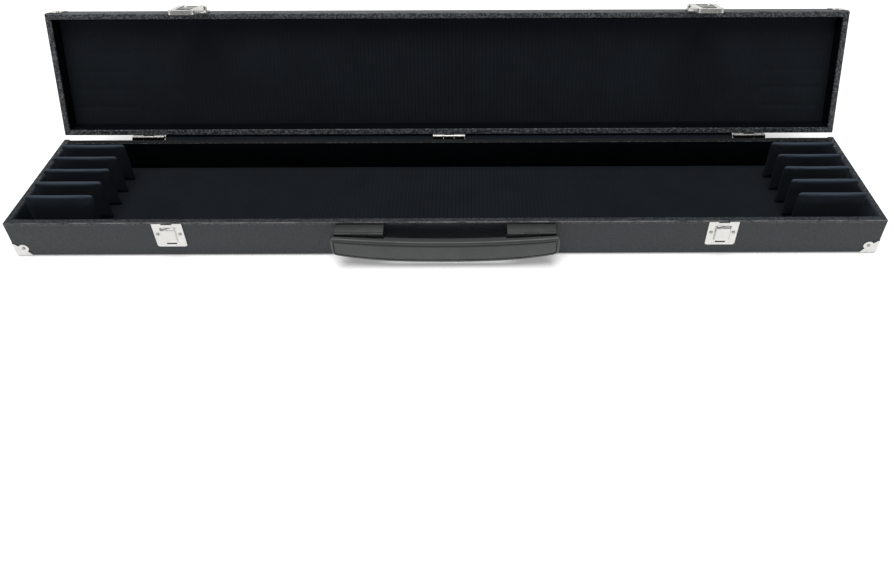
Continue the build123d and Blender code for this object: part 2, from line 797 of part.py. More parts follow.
def build_lid():
    nails = latch_nails(latch_nail_spread, lid_nail_height) + hinge_nails(1) + corner_nails(lid_high, 1)
    nodes = lid_boards()
    nodes["lid_covering"] = lid_covering()
    nodes.update(metal_corners("lid", lid_high, 1))
    for side, name in ((-1, "left"), (1, "right")):
        nodes[f"latch_plate_{name}"] = put_latch(latch_plate(), side)
    for place, name in ((-hinge_spacing, "left"), (0, "middle"), (hinge_spacing, "right")):
        nodes[f"hinge_lid_leaf_{name}"] = hinge_leaf(place, 1)
    for name in list(nodes):
        nodes[name] = without(nodes[name], near_tools(nodes[name], nails))
    nodes["lid_fasteners"] = whole(nails)
    nodes["lid_pad"] = block(-inner_x, inner_x, -inner_y, inner_y, lid_pad_low, lid_board_low)
    nodes["lid_wall_lining"] = whole(wall_lining(lid_rim, lid_board_low, lid_board_low))
    nodes["lever_pins"] = whole(put_latch(pin, side) for side in (-1, 1) for pin in lever_pins())
    for side, name in ((-1, "left"), (1, "right")):
        nodes[f"latch_lever_{name}"] = put_latch(lever(), side)
        nodes[f"claw_pin_{name}"] = put_latch(claw_pin(), side)
        nodes[f"latch_claw_{name}"] = put_latch(claw(), side)
    return {name: opened(shape) for name, shape in nodes.items()}


def near_tools(shape, tools):
    """The tools whose boxes meet the shape's box."""
    mine = shape.bounding_box()
    near = []
    for tool in tools:
        box = tool.bounding_box()
        apart = [box.min.X > mine.max.X, box.min.Y > mine.max.Y, box.min.Z > mine.max.Z,
                 box.max.X < mine.min.X, box.max.Y < mine.min.Y, box.max.Z < mine.min.Z]
        if not any(apart):
            near.append(tool)
    return near


def main():
    os.makedirs("parts", exist_ok=True)
    for name, shape in {**build_base(), **build_lid()}.items():
        export_step(shape, f"parts/{name}.step")


main()
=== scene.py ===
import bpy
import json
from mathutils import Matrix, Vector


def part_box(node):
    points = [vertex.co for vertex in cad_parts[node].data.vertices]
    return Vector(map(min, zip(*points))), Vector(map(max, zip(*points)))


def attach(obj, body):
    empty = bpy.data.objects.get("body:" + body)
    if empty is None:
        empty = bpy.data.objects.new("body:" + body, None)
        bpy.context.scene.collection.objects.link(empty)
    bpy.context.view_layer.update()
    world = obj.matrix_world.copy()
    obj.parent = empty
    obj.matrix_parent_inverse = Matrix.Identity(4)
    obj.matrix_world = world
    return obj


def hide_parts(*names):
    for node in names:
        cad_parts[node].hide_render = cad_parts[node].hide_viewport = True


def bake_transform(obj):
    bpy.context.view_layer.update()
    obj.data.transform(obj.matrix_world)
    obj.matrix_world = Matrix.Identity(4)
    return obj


bl_info = {
    "name": "Bow Case Dressing",
    "version": (1, 0, 0),
    "blender": (4, 5, 0),
    "location": "View3D > Sidebar > Bow Case",
    "description": "Covers, linings, hardware, handle and studio for a violin bow case",
    "category": "Object",
}

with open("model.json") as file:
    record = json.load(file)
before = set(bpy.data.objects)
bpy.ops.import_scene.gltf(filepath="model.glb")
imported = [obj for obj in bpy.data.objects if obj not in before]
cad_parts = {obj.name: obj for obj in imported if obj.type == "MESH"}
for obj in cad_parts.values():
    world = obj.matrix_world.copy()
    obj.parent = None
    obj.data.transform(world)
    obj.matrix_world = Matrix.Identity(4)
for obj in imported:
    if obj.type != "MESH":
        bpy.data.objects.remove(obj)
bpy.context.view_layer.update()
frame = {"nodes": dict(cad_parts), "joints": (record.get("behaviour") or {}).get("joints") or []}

import json
from math import ceil, cos, radians, sin, sqrt

import bmesh
import bpy
from bpy.props import FloatProperty, FloatVectorProperty, IntProperty, PointerProperty
from mathutils import Matrix, Vector, noise

# Lengths are metres, and mm turns a size in millimetres into them
mm = 0.001
sides = {"left": -1, "right": 1}


def find_joint(name):
    """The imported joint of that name."""
    return next(joint for joint in frame["joints"] if joint["name"] == name)


def moved_box(nodes, matrix):
    """Lowest and highest corner of some CAD nodes after a move."""
    points = [matrix @ v.co for node in nodes for v in frame["nodes"][node].data.vertices]
    low = Vector(min(p[axis] for p in points) for axis in range(3))
    high = Vector(max(p[axis] for p in points) for axis in range(3))
    return low, high


def turn_about(place, degrees):
    """A turn about a line along X through a place."""
    turn = Matrix.Rotation(radians(degrees), 4, "X")
    return Matrix.Translation(place) @ turn @ Matrix.Translation(-Vector(place))


# The lid is drawn shut, and to_open carries it to where it stands at rest
hinge_place = Vector(find_joint("lid_hinge")["pos_m"])
open_degrees = find_joint("lid_hinge")["range_deg"][1]
claw_lift = find_joint("claw_left_hinge")["range_deg"][1]
to_open = turn_about(hinge_place, -open_degrees)
to_shut = to_open.inverted()
flip_over = Matrix.Diagonal((1, 1, -1, 1))

# Outer and inner sizes of the case, read from the frame
base_low, base_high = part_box("base_side_covering")
lid_low, lid_high = moved_box(["lid_covering"], to_shut)
floor_low, floor_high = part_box("floor_pad")
lid_pad_low, lid_pad_high = moved_box(["lid_pad"], to_shut)
back_board_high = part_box("base_back_board")[1]
grip_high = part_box("handle_grip")[1]
tab_low, tab_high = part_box("handle_tab_right")
handle_pin = Vector(find_joint("handle_hinge")["pos_m"])
latch_x = find_joint("lever_right_hinge")["pos_m"][0]
lever_pin = to_shut @ Vector(find_joint("lever_right_hinge")["pos_m"])
claw_pin = to_shut @ Vector(find_joint("claw_right_hinge")["pos_m"])
front_y = base_low.y
holder_names = sorted(node for node in frame["nodes"] if node.startswith("bow_holder"))

# The angle past which an edge counts as a corner to be rounded, in radians
sharp_corner = 1.0


def length(name, description, millimetres):
    """A size that the user may change, given here in millimetres."""
    return FloatProperty(name=name, description=description, default=millimetres * mm, subtype="DISTANCE",
                         unit="LENGTH", precision=5)


def colour(name, description, values):
    """A colour that the user may change."""
    return FloatVectorProperty(name=name, description=description, default=values, subtype="COLOR",
                               min=0.0, max=1.0, size=3)


def share(name, description, value):
    """A number from 0 to 1 that the user may change."""
    return FloatProperty(name=name, description=description, default=value, min=0.0, max=1.0,
                         subtype="FACTOR")


class LeatherclothSettings(bpy.types.PropertyGroup):
    thickness: length("Thickness", "Thickness of the cloth over the boards", 0.7)
    corner_radius: length("Corner radius", "Rounding of the outer corners", 0.9)
    rim_radius: length("Rim radius", "Rounding where the cloth turns over the rim", 0.9)
    wall: length("Wall", "Width of the rim that the cloth covers", 6.5)
    back_step: length("Back step", "How much lower the back rim is", 1.2)
    turn_under: length("Turn under", "Width of the cloth that is turned under the bottom", 18.0)
    fold_width: length("Fold width", "Width of the mitre crease at a rim corner", 0.5)
    fold_depth: length("Fold depth", "Depth of the mitre crease at a rim corner", 0.3)
    lap_width: length("Lap width", "Width of the lap where the cloth's ends meet at the back", 12.0)
    lap_height: length("Lap height", "How far the lap stands out", 0.45)
    grain_size: length("Grain size", "Size of one pebble of the grain", 1.7)
    grain_height: length("Grain height", "Height of the grain", 0.035)
    rim_crinkle: length("Rim crinkle", "Height of the crinkles where the cloth turns over the rim", 1.0)
    dark: colour("Dark", "Colour between the pebbles", (0.0092, 0.0126, 0.0158))
    light: colour("Light", "Colour on the pebbles", (0.0165, 0.0215, 0.0262))
    roughness: share("Roughness", "Roughness on top of the pebbles", 0.31)


class PlushSettings(bpy.types.PropertyGroup):
    rib_pitch: length("Rib pitch", "Distance from rib to rib", 3.9)
    rib_height: length("Rib height", "Height of a rib", 0.4)
    edge_round: length("Edge round", "Rounding of a panel's edge", 1.4)
    swell: length("Swell", "Uneven swelling of a panel", 0.35)
    dent_depth: length("Dent depth", "Depth of the holders' prints in the lid's panel", 0.45)
    pile_size: length("Pile size", "Size of a tuft of the pile", 0.55)
    colour: colour("Colour", "Colour of the pile", (0.0042, 0.0058, 0.0082))
    # Bright is also used, four times over, for the painted light that a piece marks
    bright: colour("Bright", "Colour where the pile is brushed", (0.0105, 0.0136, 0.018))


class HolderSettings(bpy.types.PropertyGroup):
    voxel: length("Voxel", "Size of the mesh that is blown up", 1.3)
    shrink: length("Shrink", "How much smaller the shape is before it swells", 0.35)
    cap: length("Cap", "Furthest that a point may swell", 0.55)
    pressure: FloatProperty(name="Pressure", description="Pressure that swells a holder", default=4.0)
    corner: length("Corner", "Rounding of the upper corners", 3.0)
    gain: FloatProperty(name="Gain", description="How much paler the holders' plush is", default=2.2, min=0.0)
    frames: IntProperty(name="Frames", description="Frames that the swelling takes", default=20, min=1)


class MetalSettings(bpy.types.PropertyGroup):
    edge: length("Edge", "Rounding of the metal's edges", 0.22)
    sheet: length("Sheet", "Thickness of the pressed sheet", 0.8)
    colour: colour("Colour", "Colour of the plating", (0.62, 0.615, 0.595))
    roughness: share("Roughness", "Roughness of the plating", 0.2)


class HandleSettings(bpy.types.PropertyGroup):
    rim_width: length("Rim width", "Width of the rim round the grip's face", 2.3)
    groove_width: length("Groove width", "Width of the groove inside the rim", 0.9)
    groove_depth: length("Groove depth", "Depth of the groove inside the rim", 0.55)
    crown: length("Crown", "How far the face swells inside the groove", 0.7)
    bottom_corner: length("Bottom corner", "Rounding of the grip's lower corners", 5.0)
    top_corner: length("Top corner", "Rounding of the grip's edges and upper corners", 1.9)
    top_bow: length("Top bow", "How far the grip's upper edge sags in its middle", 5.5)
    bottom_bow: length("Bottom bow", "How far the grip's lower edge sags in its middle", 10.0)
    pocket: length("Pocket", "Clearance behind the grip round the tab's pin", 4.4)
    dark: colour("Dark", "Colour in the fine grain", (0.028, 0.030, 0.030))
    light: colour("Light", "Colour on the fine grain", (0.046, 0.0485, 0.0475))
    grain_size: length("Grain size", "Size of the fine grain", 0.8)
    grain_height: length("Grain height", "Height of the fine grain", 0.05)


class StageSettings(bpy.types.PropertyGroup):
    floor_size: FloatProperty(name="Floor size", description="Width of the floor", default=60.0,
                              subtype="DISTANCE", unit="LENGTH")
    floor: colour("Floor", "Colour of the floor", (0.93, 0.93, 0.93))
    sky: FloatProperty(name="Sky", description="Brightness of the studio walls", default=0.2)
    key: FloatProperty(name="Key", description="Strength of the soft light from above", default=3.05)
    glow: FloatProperty(name="Glow", description="Light that comes through the floor", default=0.26)
    lens: FloatProperty(name="Lens", description="Focal length of the camera", default=30.08,
                        subtype="DISTANCE_CAMERA")
    camera_place: FloatVectorProperty(name="Camera place", description="Where the camera stands",
                                      default=(0.0257, -0.5594, 0.5066), subtype="TRANSLATION", unit="LENGTH")
    camera_turn: FloatVectorProperty(name="Camera turn", description="Tilt, roll and heading of the camera",
                                     default=(radians(54.68), radians(0.165), radians(-0.13)),
                                     subtype="EULER")
    picture_centre: FloatVectorProperty(name="Picture centre", description="Pixel that the lens points at",
                                        default=(473.6, 118.9), size=2)
    picture_size: FloatVectorProperty(name="Picture size", default=(894.0, 566.0), size=2,
                                      description="Width and height of the picture in pixels")


# Drawing helpers
def add_box(bm, low, high, rounding=0.0, segments=3):
    """A box between two corners, with all its edges rounded."""
    low, high = Vector(low), Vector(high)
    size = Matrix.Diagonal((*(high - low), 1.0))
    made = bmesh.ops.create_cube(bm, size=1.0, matrix=Matrix.Translation((low + high) / 2) @ size)
    if rounding:
        edges = {edge for vert in made["verts"] for edge in vert.link_edges}
        round_edges(bm, edges, rounding, segments)


def round_edges(bm, edges, width, segments=3):
    """Rounds edges to a width."""
    bmesh.ops.bevel(bm, geom=list(edges), offset=width, offset_type="OFFSET", segments=segments, profile=0.5,
                    affect="EDGES", clamp_overlap=True, material=-1)


def folds_over(bm, angle):
    """The edges whose two faces meet at more than an angle."""
    return [edge for edge in bm.edges if edge.calc_face_angle(0) > angle]


def round_corners(bm, verts, radius, segments=6):
    """Rounds the corners of a flat outline."""
    bmesh.ops.bevel(bm, geom=list(verts), offset=radius, offset_type="OFFSET", segments=segments, profile=0.5,
                    affect="VERTICES", clamp_overlap=True, material=-1)


def add_outline(bm, points):
    """One flat face from its corners."""
    return bm.faces.new([bm.verts.new(point) for point in points])


def thicken(bm, faces, move):
    """Extrudes faces along a move, and keeps the first faces as the other side."""
    made = bmesh.ops.extrude_face_region(bm, geom=list(faces), use_keep_orig=True)
    verts = [item for item in made["geom"] if isinstance(item, bmesh.types.BMVert)]
    bmesh.ops.translate(bm, verts=verts, vec=move)
    return verts


def add_rod(bm, start, end, radius, segments=24, rounding=0.0):
    """A round bar between two points, with rounded ends."""
    start, end = Vector(start), Vector(end)
    turn = (end - start).to_track_quat("Z", "Y").to_matrix().to_4x4()
    made = bmesh.ops.create_cone(bm, cap_ends=True, segments=segments, radius1=radius, radius2=radius,
                                 depth=(end - start).length,
                                 matrix=Matrix.Translation((start + end) / 2) @ turn)
    if rounding:
        verts = set(made["verts"])
        edges = [edge for edge in bm.edges if verts.issuperset(edge.verts) and len(edge.link_faces) == 2
                 and any(len(face.verts) > 4 for face in edge.link_faces)]
        round_edges(bm, edges, rounding, 2)


def outward(bm):
    """Merges doubles and turns every face outwards."""
    bmesh.ops.remove_doubles(bm, verts=bm.verts, dist=1e-6)
    bmesh.ops.recalc_face_normals(bm, faces=bm.faces)


def put(name, bm, material, body, nodes=(), matrix=None, crisp=40.0):
    """Makes a finished piece of a bmesh: its place goes into the mesh, and it rides on its body."""
    if matrix is not None:
        bmesh.ops.transform(bm, matrix=matrix, verts=bm.verts)
        if matrix.determinant() < 0:
            bmesh.ops.reverse_faces(bm, faces=bm.faces)
    mesh = bpy.data.meshes.new(name)
    bm.to_mesh(mesh)
    bm.free()
    mesh.materials.append(material)
    mesh.shade_smooth()
    mesh.set_sharp_from_angle(angle=radians(crisp))
    piece = bpy.data.objects.new(name, mesh)
    bpy.context.scene.collection.objects.link(piece)
    if nodes:
        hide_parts(*nodes)
    if body:
        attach(piece, body)
    return piece


def even_shading(piece):
    """Keeps broad flat faces flat in the shading, beside their rounded edges."""
    modifier = piece.modifiers.new("Even shading", "WEIGHTED_NORMAL")
    modifier.keep_sharp = True


def finish_nodes(names, material):
    """Gives CAD nodes whose shape is right their material."""
    for name in names:
        node = frame["nodes"][name]
        node.data.materials.clear()
        node.data.materials.append(material)


# Materials
def new_material(name):
    material = bpy.data.materials.new(name)
    material.use_nodes = True
    return material, material.node_tree, material.node_tree.nodes["Principled BSDF"]


def add_node(tree, kind, inputs=None, **settings):
    """A shader node. Its inputs are given as values or as the sockets that they are linked to."""
    made = tree.nodes.new(kind)
    for key, value in settings.items():
        setattr(made, key, value)
    for key, value in (inputs or {}).items():
        if isinstance(value, bpy.types.NodeSocket):
            tree.links.new(value, made.inputs[key])
        else:
            made.inputs[key].default_value = value
    return made


def place_of(tree):
    """The object's own coordinates."""
    return add_node(tree, "ShaderNodeTexCoord").outputs["Object"]


def noise_of(tree, place, size, detail=3.0, roughness=0.55):
    """Soft noise whose spots have a size in metres."""
    made = add_node(tree, "ShaderNodeTexNoise", {"Vector": place, "Scale": 1.0 / size, "Detail": detail,
                                                 "Roughness": roughness})
    return made.outputs["Fac"]


def spread(tree, value, low, high, to_low=0.0, to_high=1.0):
    """Maps a value from one range to another."""
    made = add_node(tree, "ShaderNodeMapRange", {"Value": value, "From Min": low, "From Max": high,
                                                 "To Min": to_low, "To Max": to_high})
    return made.outputs["Result"]


def combine(tree, operation, first, second):
    """One operation on two values."""
    return add_node(tree, "ShaderNodeMath", {0: first, 1: second}, operation=operation).outputs["Value"]


def blend_colours(tree, factor, first, second):
    """A mix of two colours."""
    made = add_node(tree, "ShaderNodeMix", {"Factor": factor}, data_type="RGBA")
    for socket, value in ((6, first), (7, second)):
        if isinstance(value, bpy.types.NodeSocket):
            tree.links.new(value, made.inputs[socket])
        else:
            made.inputs[socket].default_value = (*value, 1.0)
    return made.outputs[2]


def bumped(tree, height, distance, strength=1.0, under=None):
    """A bump of a real height in metres, over another bump."""
    inputs = {"Height": height, "Distance": distance, "Strength": strength}
    if under is not None:
        inputs["Normal"] = under
    return add_node(tree, "ShaderNodeBump", inputs).outputs["Normal"]


def stirred(tree, place, size, amount):
    """Coordinates pushed about by noise, so that a pattern on them isn't regular."""
    swirl = add_node(tree, "ShaderNodeTexNoise", {"Vector": place, "Scale": 1.0 / size, "Detail": 2.0})
    centred = add_node(tree, "ShaderNodeVectorMath", {0: swirl.outputs["Color"], 1: (0.5, 0.5, 0.5)},
                       operation="SUBTRACT")
    pushed = add_node(tree, "ShaderNodeVectorMath", {0: centred.outputs["Vector"], 1: (amount,) * 3},
                      operation="MULTIPLY")
    total = add_node(tree, "ShaderNodeVectorMath", {0: place, 1: pushed.outputs["Vector"]}, operation="ADD")
    return total.outputs["Vector"]


def stored(tree, name):
    """A share that a piece's own points carry."""
    return add_node(tree, "ShaderNodeAttribute", attribute_name=name).outputs["Fac"]


def leathercloth(settings):
    """Black vinyl cloth with a pebbled grain, a little scuffed along its edges, with a painted highlight
    along the top edges and on the rim's crinkles, and painted shade on the back rim.
    """
    material, tree, shader = new_material("Leathercloth")
    place = place_of(tree)
    size = settings.grain_size
    loose = stirred(tree, place, size * 2.5, size * 1.4)
    cells = add_node(tree, "ShaderNodeTexVoronoi", {"Vector": loose, "Scale": 1.0 / size, "Smoothness": 0.4},
                     feature="SMOOTH_F1").outputs["Distance"]
    pebbles = spread(tree, cells, 0.15, 0.75, 1.0, 0.0)
    fine = noise_of(tree, place, size * 0.35, 4.0, 0.6)
    cloud = noise_of(tree, place, 0.06, 3.0)
    rim = stored(tree, "rim")
    crinkle = noise_of(tree, stirred(tree, place, 0.003, 0.003), 0.0019, 2.0)
    crinkles_and_highlight = combine(tree, "MULTIPLY", spread(tree, crinkle, 0.44, 0.58), rim)
    grain = blend_colours(tree, pebbles, settings.dark, settings.light)
    patchy = spread(tree, cloud, 0.3, 0.7, 0.0, 0.12)
    tone = blend_colours(tree, patchy, grain, [min(1.0, c * 1.5) for c in settings.light])
    # Scuffs along the rounded edges; on the top edges, where the mask is full, the pale scuff colour also
    # paints a highlight
    scuffs_and_highlight = combine(tree, "MULTIPLY", stored(tree, "wear_and_highlight"),
                     spread(tree, noise_of(tree, place, 0.012), 0.35, 0.62))
    worn_and_highlit = blend_colours(tree, scuffs_and_highlight, tone, (0.15, 0.153, 0.156))
    # Painted shade: the back rim under the open lid is darkened to near black and made more matt
    back_rim_shade = stored(tree, "back_rim_shade")
    # Painted highlight: the rim's crinkles are lightened to a pale bluish grey, besides their bump
    highlit_crinkles = blend_colours(tree, crinkles_and_highlight, worn_and_highlit, (0.105, 0.109, 0.118))
    tree.links.new(blend_colours(tree, back_rim_shade, highlit_crinkles, (0.0035, 0.004, 0.0048)), shader.inputs["Base Color"])
    rough = spread(tree, combine(tree, "ADD", pebbles, fine), 0.3, 1.8, settings.roughness + 0.2,
                   settings.roughness)
    matt_back_rim = spread(tree, back_rim_shade, 0.0, 1.0, 0.0, 0.35)
    tree.links.new(combine(tree, "ADD", rough, matt_back_rim), shader.inputs["Roughness"])
    crumpled = bumped(tree, crinkles_and_highlight, settings.rim_crinkle)
    grained = bumped(tree, pebbles, settings.grain_height, 0.7, crumpled)
    tree.links.new(bumped(tree, fine, settings.grain_height * 0.3, 0.5, grained), shader.inputs["Normal"])
    shader.inputs["Specular IOR Level"].default_value = 0.36
    return material


def handle_cloth(name, settings, gain=1.0, gloss=0.5):
    """The handle's smoother vinyl, with a fine grain and faint rubbing."""
    material, tree, shader = new_material(name)
    place = place_of(tree)
    size = settings.grain_size
    cells = add_node(tree, "ShaderNodeTexVoronoi", {"Vector": stirred(tree, place, size * 2, size),
                                                    "Scale": 1.0 / size}, feature="F1").outputs["Distance"]
    pebbles = spread(tree, cells, 0.1, 0.8, 1.0, 0.0)
    cloud = noise_of(tree, place, 0.018, 4.0, 0.65)
    rubbed = spread(tree, cloud, 0.35, 0.7, 0.0, 1.0)
    tone = blend_colours(tree, combine(tree, "MULTIPLY", pebbles, rubbed), [c * gain for c in settings.dark],
                         [c * gain for c in settings.light])
    creases = blend_colours(tree, stored(tree, "wear_and_highlight"), tone, (0.016, 0.017, 0.017))
    tree.links.new(creases, shader.inputs["Base Color"])
    tree.links.new(spread(tree, rubbed, 0.0, 1.0, 0.52, 0.40), shader.inputs["Roughness"])
    shader.inputs["Specular IOR Level"].default_value = gloss
    soft = bumped(tree, cloud, 0.0004, 0.4)
    tree.links.new(bumped(tree, pebbles, settings.grain_height, 0.8, soft), shader.inputs["Normal"])
    return material


def plush(name, settings, gain=1.0, shine=1.0):
    """Short black pile with a faint nap, painted shade in its rib grooves, and painted light where a piece
    marks it.
    """
    material, tree, shader = new_material(name)
    place = place_of(tree)
    tufts = noise_of(tree, place, settings.pile_size, 5.0, 0.7)
    brushed = noise_of(tree, stirred(tree, place, 0.02, 0.012), 0.035, 3.0)
    mixed = combine(tree, "MULTIPLY", spread(tree, tufts, 0.35, 0.75),
                    spread(tree, brushed, 0.3, 0.75, 0.25, 1.0))
    tone = blend_colours(tree, mixed, [c * gain for c in settings.colour],
                         [c * gain for c in settings.bright])
    # Painted shade in the grooves between the ribs, down to 0.4 of the pile colour
    shaded = blend_colours(tree, stored(tree, "groove_shade"), tone, [c * 0.4 for c in settings.colour])
    # Painted light: marked points are brightened to four times the bright pile colour
    lit = blend_colours(tree, stored(tree, "nap_and_painted_light"), shaded, [c * 4.0 for c in settings.bright])
    tree.links.new(lit, shader.inputs["Base Color"])
    shader.inputs["Roughness"].default_value = 0.9
    shader.inputs["Specular IOR Level"].default_value = 0.12 * shine
    shader.inputs["Sheen Weight"].default_value = 0.06 * shine
    shader.inputs["Sheen Roughness"].default_value = 0.45
    shader.inputs["Sheen Tint"].default_value = (0.55, 0.62, 0.7, 1.0)
    nap_and_painted_light = bumped(tree, brushed, 0.0012, 0.35)
    tree.links.new(bumped(tree, tufts, settings.pile_size * 0.45, 0.9, nap_and_painted_light), shader.inputs["Normal"])
    return material


def fibreboard():
    """Raw brown fibreboard with fine flecks."""
    material, tree, shader = new_material("Fibreboard")
    place = place_of(tree)
    flecks = noise_of(tree, place, 0.0012, 6.0, 0.75)
    bands = noise_of(tree, place, 0.02, 2.0)
    tone = blend_colours(tree, spread(tree, flecks, 0.35, 0.65), (0.085, 0.055, 0.035), (0.19, 0.135, 0.09))
    tree.links.new(blend_colours(tree, spread(tree, bands, 0.3, 0.7, 0.0, 0.4), tone, (0.12, 0.085, 0.06)),
                   shader.inputs["Base Color"])
    shader.inputs["Roughness"].default_value = 0.85
    tree.links.new(bumped(tree, flecks, 0.0002, 0.5), shader.inputs["Normal"])
    return material


def nickel(name, settings, dulled=1.0, bright_above=None):
    """Bright nickel plating with faint smears and scratches, darkened with painted shade in a band below a
    height.
    """
    material, tree, shader = new_material(name)
    place = place_of(tree)
    smears = noise_of(tree, place, 0.006, 4.0, 0.6)
    stretched = add_node(tree, "ShaderNodeMapping", {"Vector": place, "Scale": (0.2, 1.0, 1.0)})
    scratches = noise_of(tree, stretched.outputs["Vector"], 0.0006, 3.0, 0.7)
    tone = blend_colours(tree, spread(tree, smears, 0.35, 0.75, 0.0, 0.5),
                         [c * dulled for c in settings.colour], [c * dulled * 0.84 for c in settings.colour])
    # Painted shade: with a height given, a near-black band from about 0.6 to 3.6 mm below it
    if bright_above is not None:
        height = add_node(tree, "ShaderNodeSeparateXYZ", {"Vector": place}).outputs["Z"]
        unshaded = combine(tree, "MAXIMUM", spread(tree, height, bright_above - 0.6 * mm, bright_above),
                        spread(tree, height, bright_above - 4.2 * mm, bright_above - 3.6 * mm, 1.0, 0.0))
        tone = blend_colours(tree, unshaded, (0.045, 0.044, 0.042), tone)
    tree.links.new(tone, shader.inputs["Base Color"])
    shader.inputs["Metallic"].default_value = 1.0
    rough = spread(tree, combine(tree, "ADD", smears, scratches), 0.7, 1.4, settings.roughness,
                   settings.roughness + 0.16)
    tree.links.new(rough, shader.inputs["Roughness"])
    tree.links.new(bumped(tree, smears, 0.00012, 0.25), shader.inputs["Normal"])
    return material


def floor_finish(settings):
    """A pale, matt floor, lit a little from below."""
    material, tree, shader = new_material("Studio_floor")
    cloud = noise_of(tree, place_of(tree), 0.8, 2.0)
    tone = blend_colours(tree, spread(tree, cloud, 0.3, 0.7, 0.0, 0.3), settings.floor,
                         [c * 0.985 for c in settings.floor])
    tree.links.new(tone, shader.inputs["Base Color"])
    shader.inputs["Roughness"].default_value = 0.8
    shader.inputs["Specular IOR Level"].default_value = 0.2
    shader.inputs["Emission Color"].default_value = (1.0, 1.0, 1.0, 1.0)
    shader.inputs["Emission Strength"].default_value = settings.glow
    return material


def finish_of(name):
    """The material of that name, made the first time that it is asked for."""
    scene = bpy.context.scene
    makers = {
        "Leathercloth": lambda: leathercloth(scene.bow_case_leathercloth),
        "Seam_cloth": lambda: plush("Seam_cloth", scene.bow_case_plush, 1.3),
        "Handle_vinyl": lambda: handle_cloth("Handle_vinyl", scene.bow_case_handle),
        # Painted shade: the tabs get a copy of the handle's vinyl at 0.4 of its colour, so their sloped tops
        # look less lit
        "Tab_vinyl_painted_shade": lambda: handle_cloth("Tab_vinyl_painted_shade", scene.bow_case_handle, 0.4, 0.38),
        "Plush": lambda: plush("Plush", scene.bow_case_plush),
        # Painted light: the lid's panel gets a copy of the plush 1.3 times paler
        "Lid_plush_painted_light": lambda: plush("Lid_plush_painted_light", scene.bow_case_plush, 1.3),
        # Painted shade: the wall linings get a copy of the plush at 0.35 of its colour, with little sheen and
        # gloss
        "Lining_plush_painted_shade": lambda: plush("Lining_plush_painted_shade", scene.bow_case_plush, 0.35, 0.15),
        "Holder_plush": lambda: plush("Holder_plush", scene.bow_case_plush, scene.bow_case_holders.gain),
        "Fibreboard": fibreboard,
        "Nickel": lambda: nickel("Nickel", scene.bow_case_metal),
        "Nail_steel": lambda: nickel("Nail_steel", scene.bow_case_metal, 0.5),
        "Dark_steel": lambda: nickel("Dark_steel", scene.bow_case_metal, 0.1),
        # The hinge leaves: painted shade, half as bright as the nickel and near black in a band below the
        # knuckles
        "Hinge_steel": lambda: nickel("Hinge_steel", scene.bow_case_metal, 0.5, hinge_place.z + 0.9 * mm),
        "Studio_floor": lambda: floor_finish(scene.bow_case_stage),
    }
    return bpy.data.materials.get(name) or makers[name]()


# Covers
def is_near(value, target, reach=1e-5):
    return abs(value - target) < reach


def cut_at(bm, place, direction):
    """Adds a line of edges where a plane crosses the mesh."""
    geom = bm.verts[:] + bm.edges[:] + bm.faces[:]
    bmesh.ops.bisect_plane(bm, geom=geom, dist=1e-6, plane_co=place, plane_no=direction)


def cover_shell(settings, low, high, turned_under):
    """Cloth over a box that is open at the top, turned over its rim. The rim is up."""
    bm = bmesh.new()
    add_box(bm, low, high)
    outer = bm.edges[:]
    top = [face for face in bm.faces if face.normal.z > 0.9]
    bmesh.ops.inset_region(bm, faces=top, thickness=settings.wall - settings.thickness, use_even_offset=True)
    made = bmesh.ops.extrude_face_region(bm, geom=top)
    inner = [item for item in made["geom"] if isinstance(item, bmesh.types.BMVert)]
    bmesh.ops.translate(bm, verts=inner, vec=(0, 0, -3 * settings.thickness))
    bmesh.ops.delete(bm, geom=[f for f in bm.faces if all(v in inner for v in f.verts)], context="FACES")
    bmesh.ops.delete(bm, geom=[f for f in top if f.is_valid], context="FACES_ONLY")
    inside = [edge for edge in bm.edges if edge not in outer and not edge.is_boundary
              and all(is_near(v.co.z, high.z) for v in edge.verts)
              and any(abs(face.normal.z) < 0.5 for face in edge.link_faces)]
    round_edges(bm, inside, settings.rim_radius, 3)
    round_edges(bm, [edge for edge in outer if edge.is_valid], settings.corner_radius, 4)
    if turned_under:
        bottom = [face for face in bm.faces if face.normal.z < -0.99 and face.calc_area() > 0.001]
        bmesh.ops.inset_region(bm, faces=bottom, thickness=settings.turn_under, use_even_offset=True)
        bmesh.ops.delete(bm, geom=bottom, context="FACES")
    return bm


def crease_mitres(bm, settings, high):
    """Presses the fold line of the cloth into each corner of the rim."""
    for sx in (-1, 1):
        for sy in (-1, 1):
            corner = Vector((sx * high.x, sy * high.y, high.z))
            across = Vector((sx, -sy, 0)).normalized()
            for step in (-0.5, 0, 0.5):
                near = [f for f in bm.faces if (f.calc_center_median() - corner).length < 30 * mm
                        or any((v.co - corner).length < 14 * mm for v in f.verts)]
                edges = {e for f in near for e in f.edges}
                verts = {v for f in near for v in f.verts}
                bmesh.ops.bisect_plane(bm, geom=[*verts, *edges, *near], dist=1e-6,
                                       plane_co=corner + across * settings.fold_width * step, plane_no=across)
            for vert in bm.verts:
                away = vert.co - corner
                if is_near(away.dot(across), 0) and away.xy.length < settings.wall * 1.5:
                    if vert.co.z > high.z - settings.corner_radius:
                        vert.co.z -= settings.fold_depth


def lower_back_rim(bm, settings, high, half_width):
    """Drops the rim along the back, between the end boards."""
    for sx in (-1, 1):
        for x in (half_width, half_width + settings.back_step * 0.4):
            cut_at(bm, (sx * x, 0, 0), (1, 0, 0))
    for vert in bm.verts:
        if vert.co.y > high.y - settings.wall - 0.5 * mm and abs(vert.co.x) < half_width + 1e-5:
            if vert.co.z > high.z - 4 * settings.thickness:
                vert.co.z -= settings.back_step


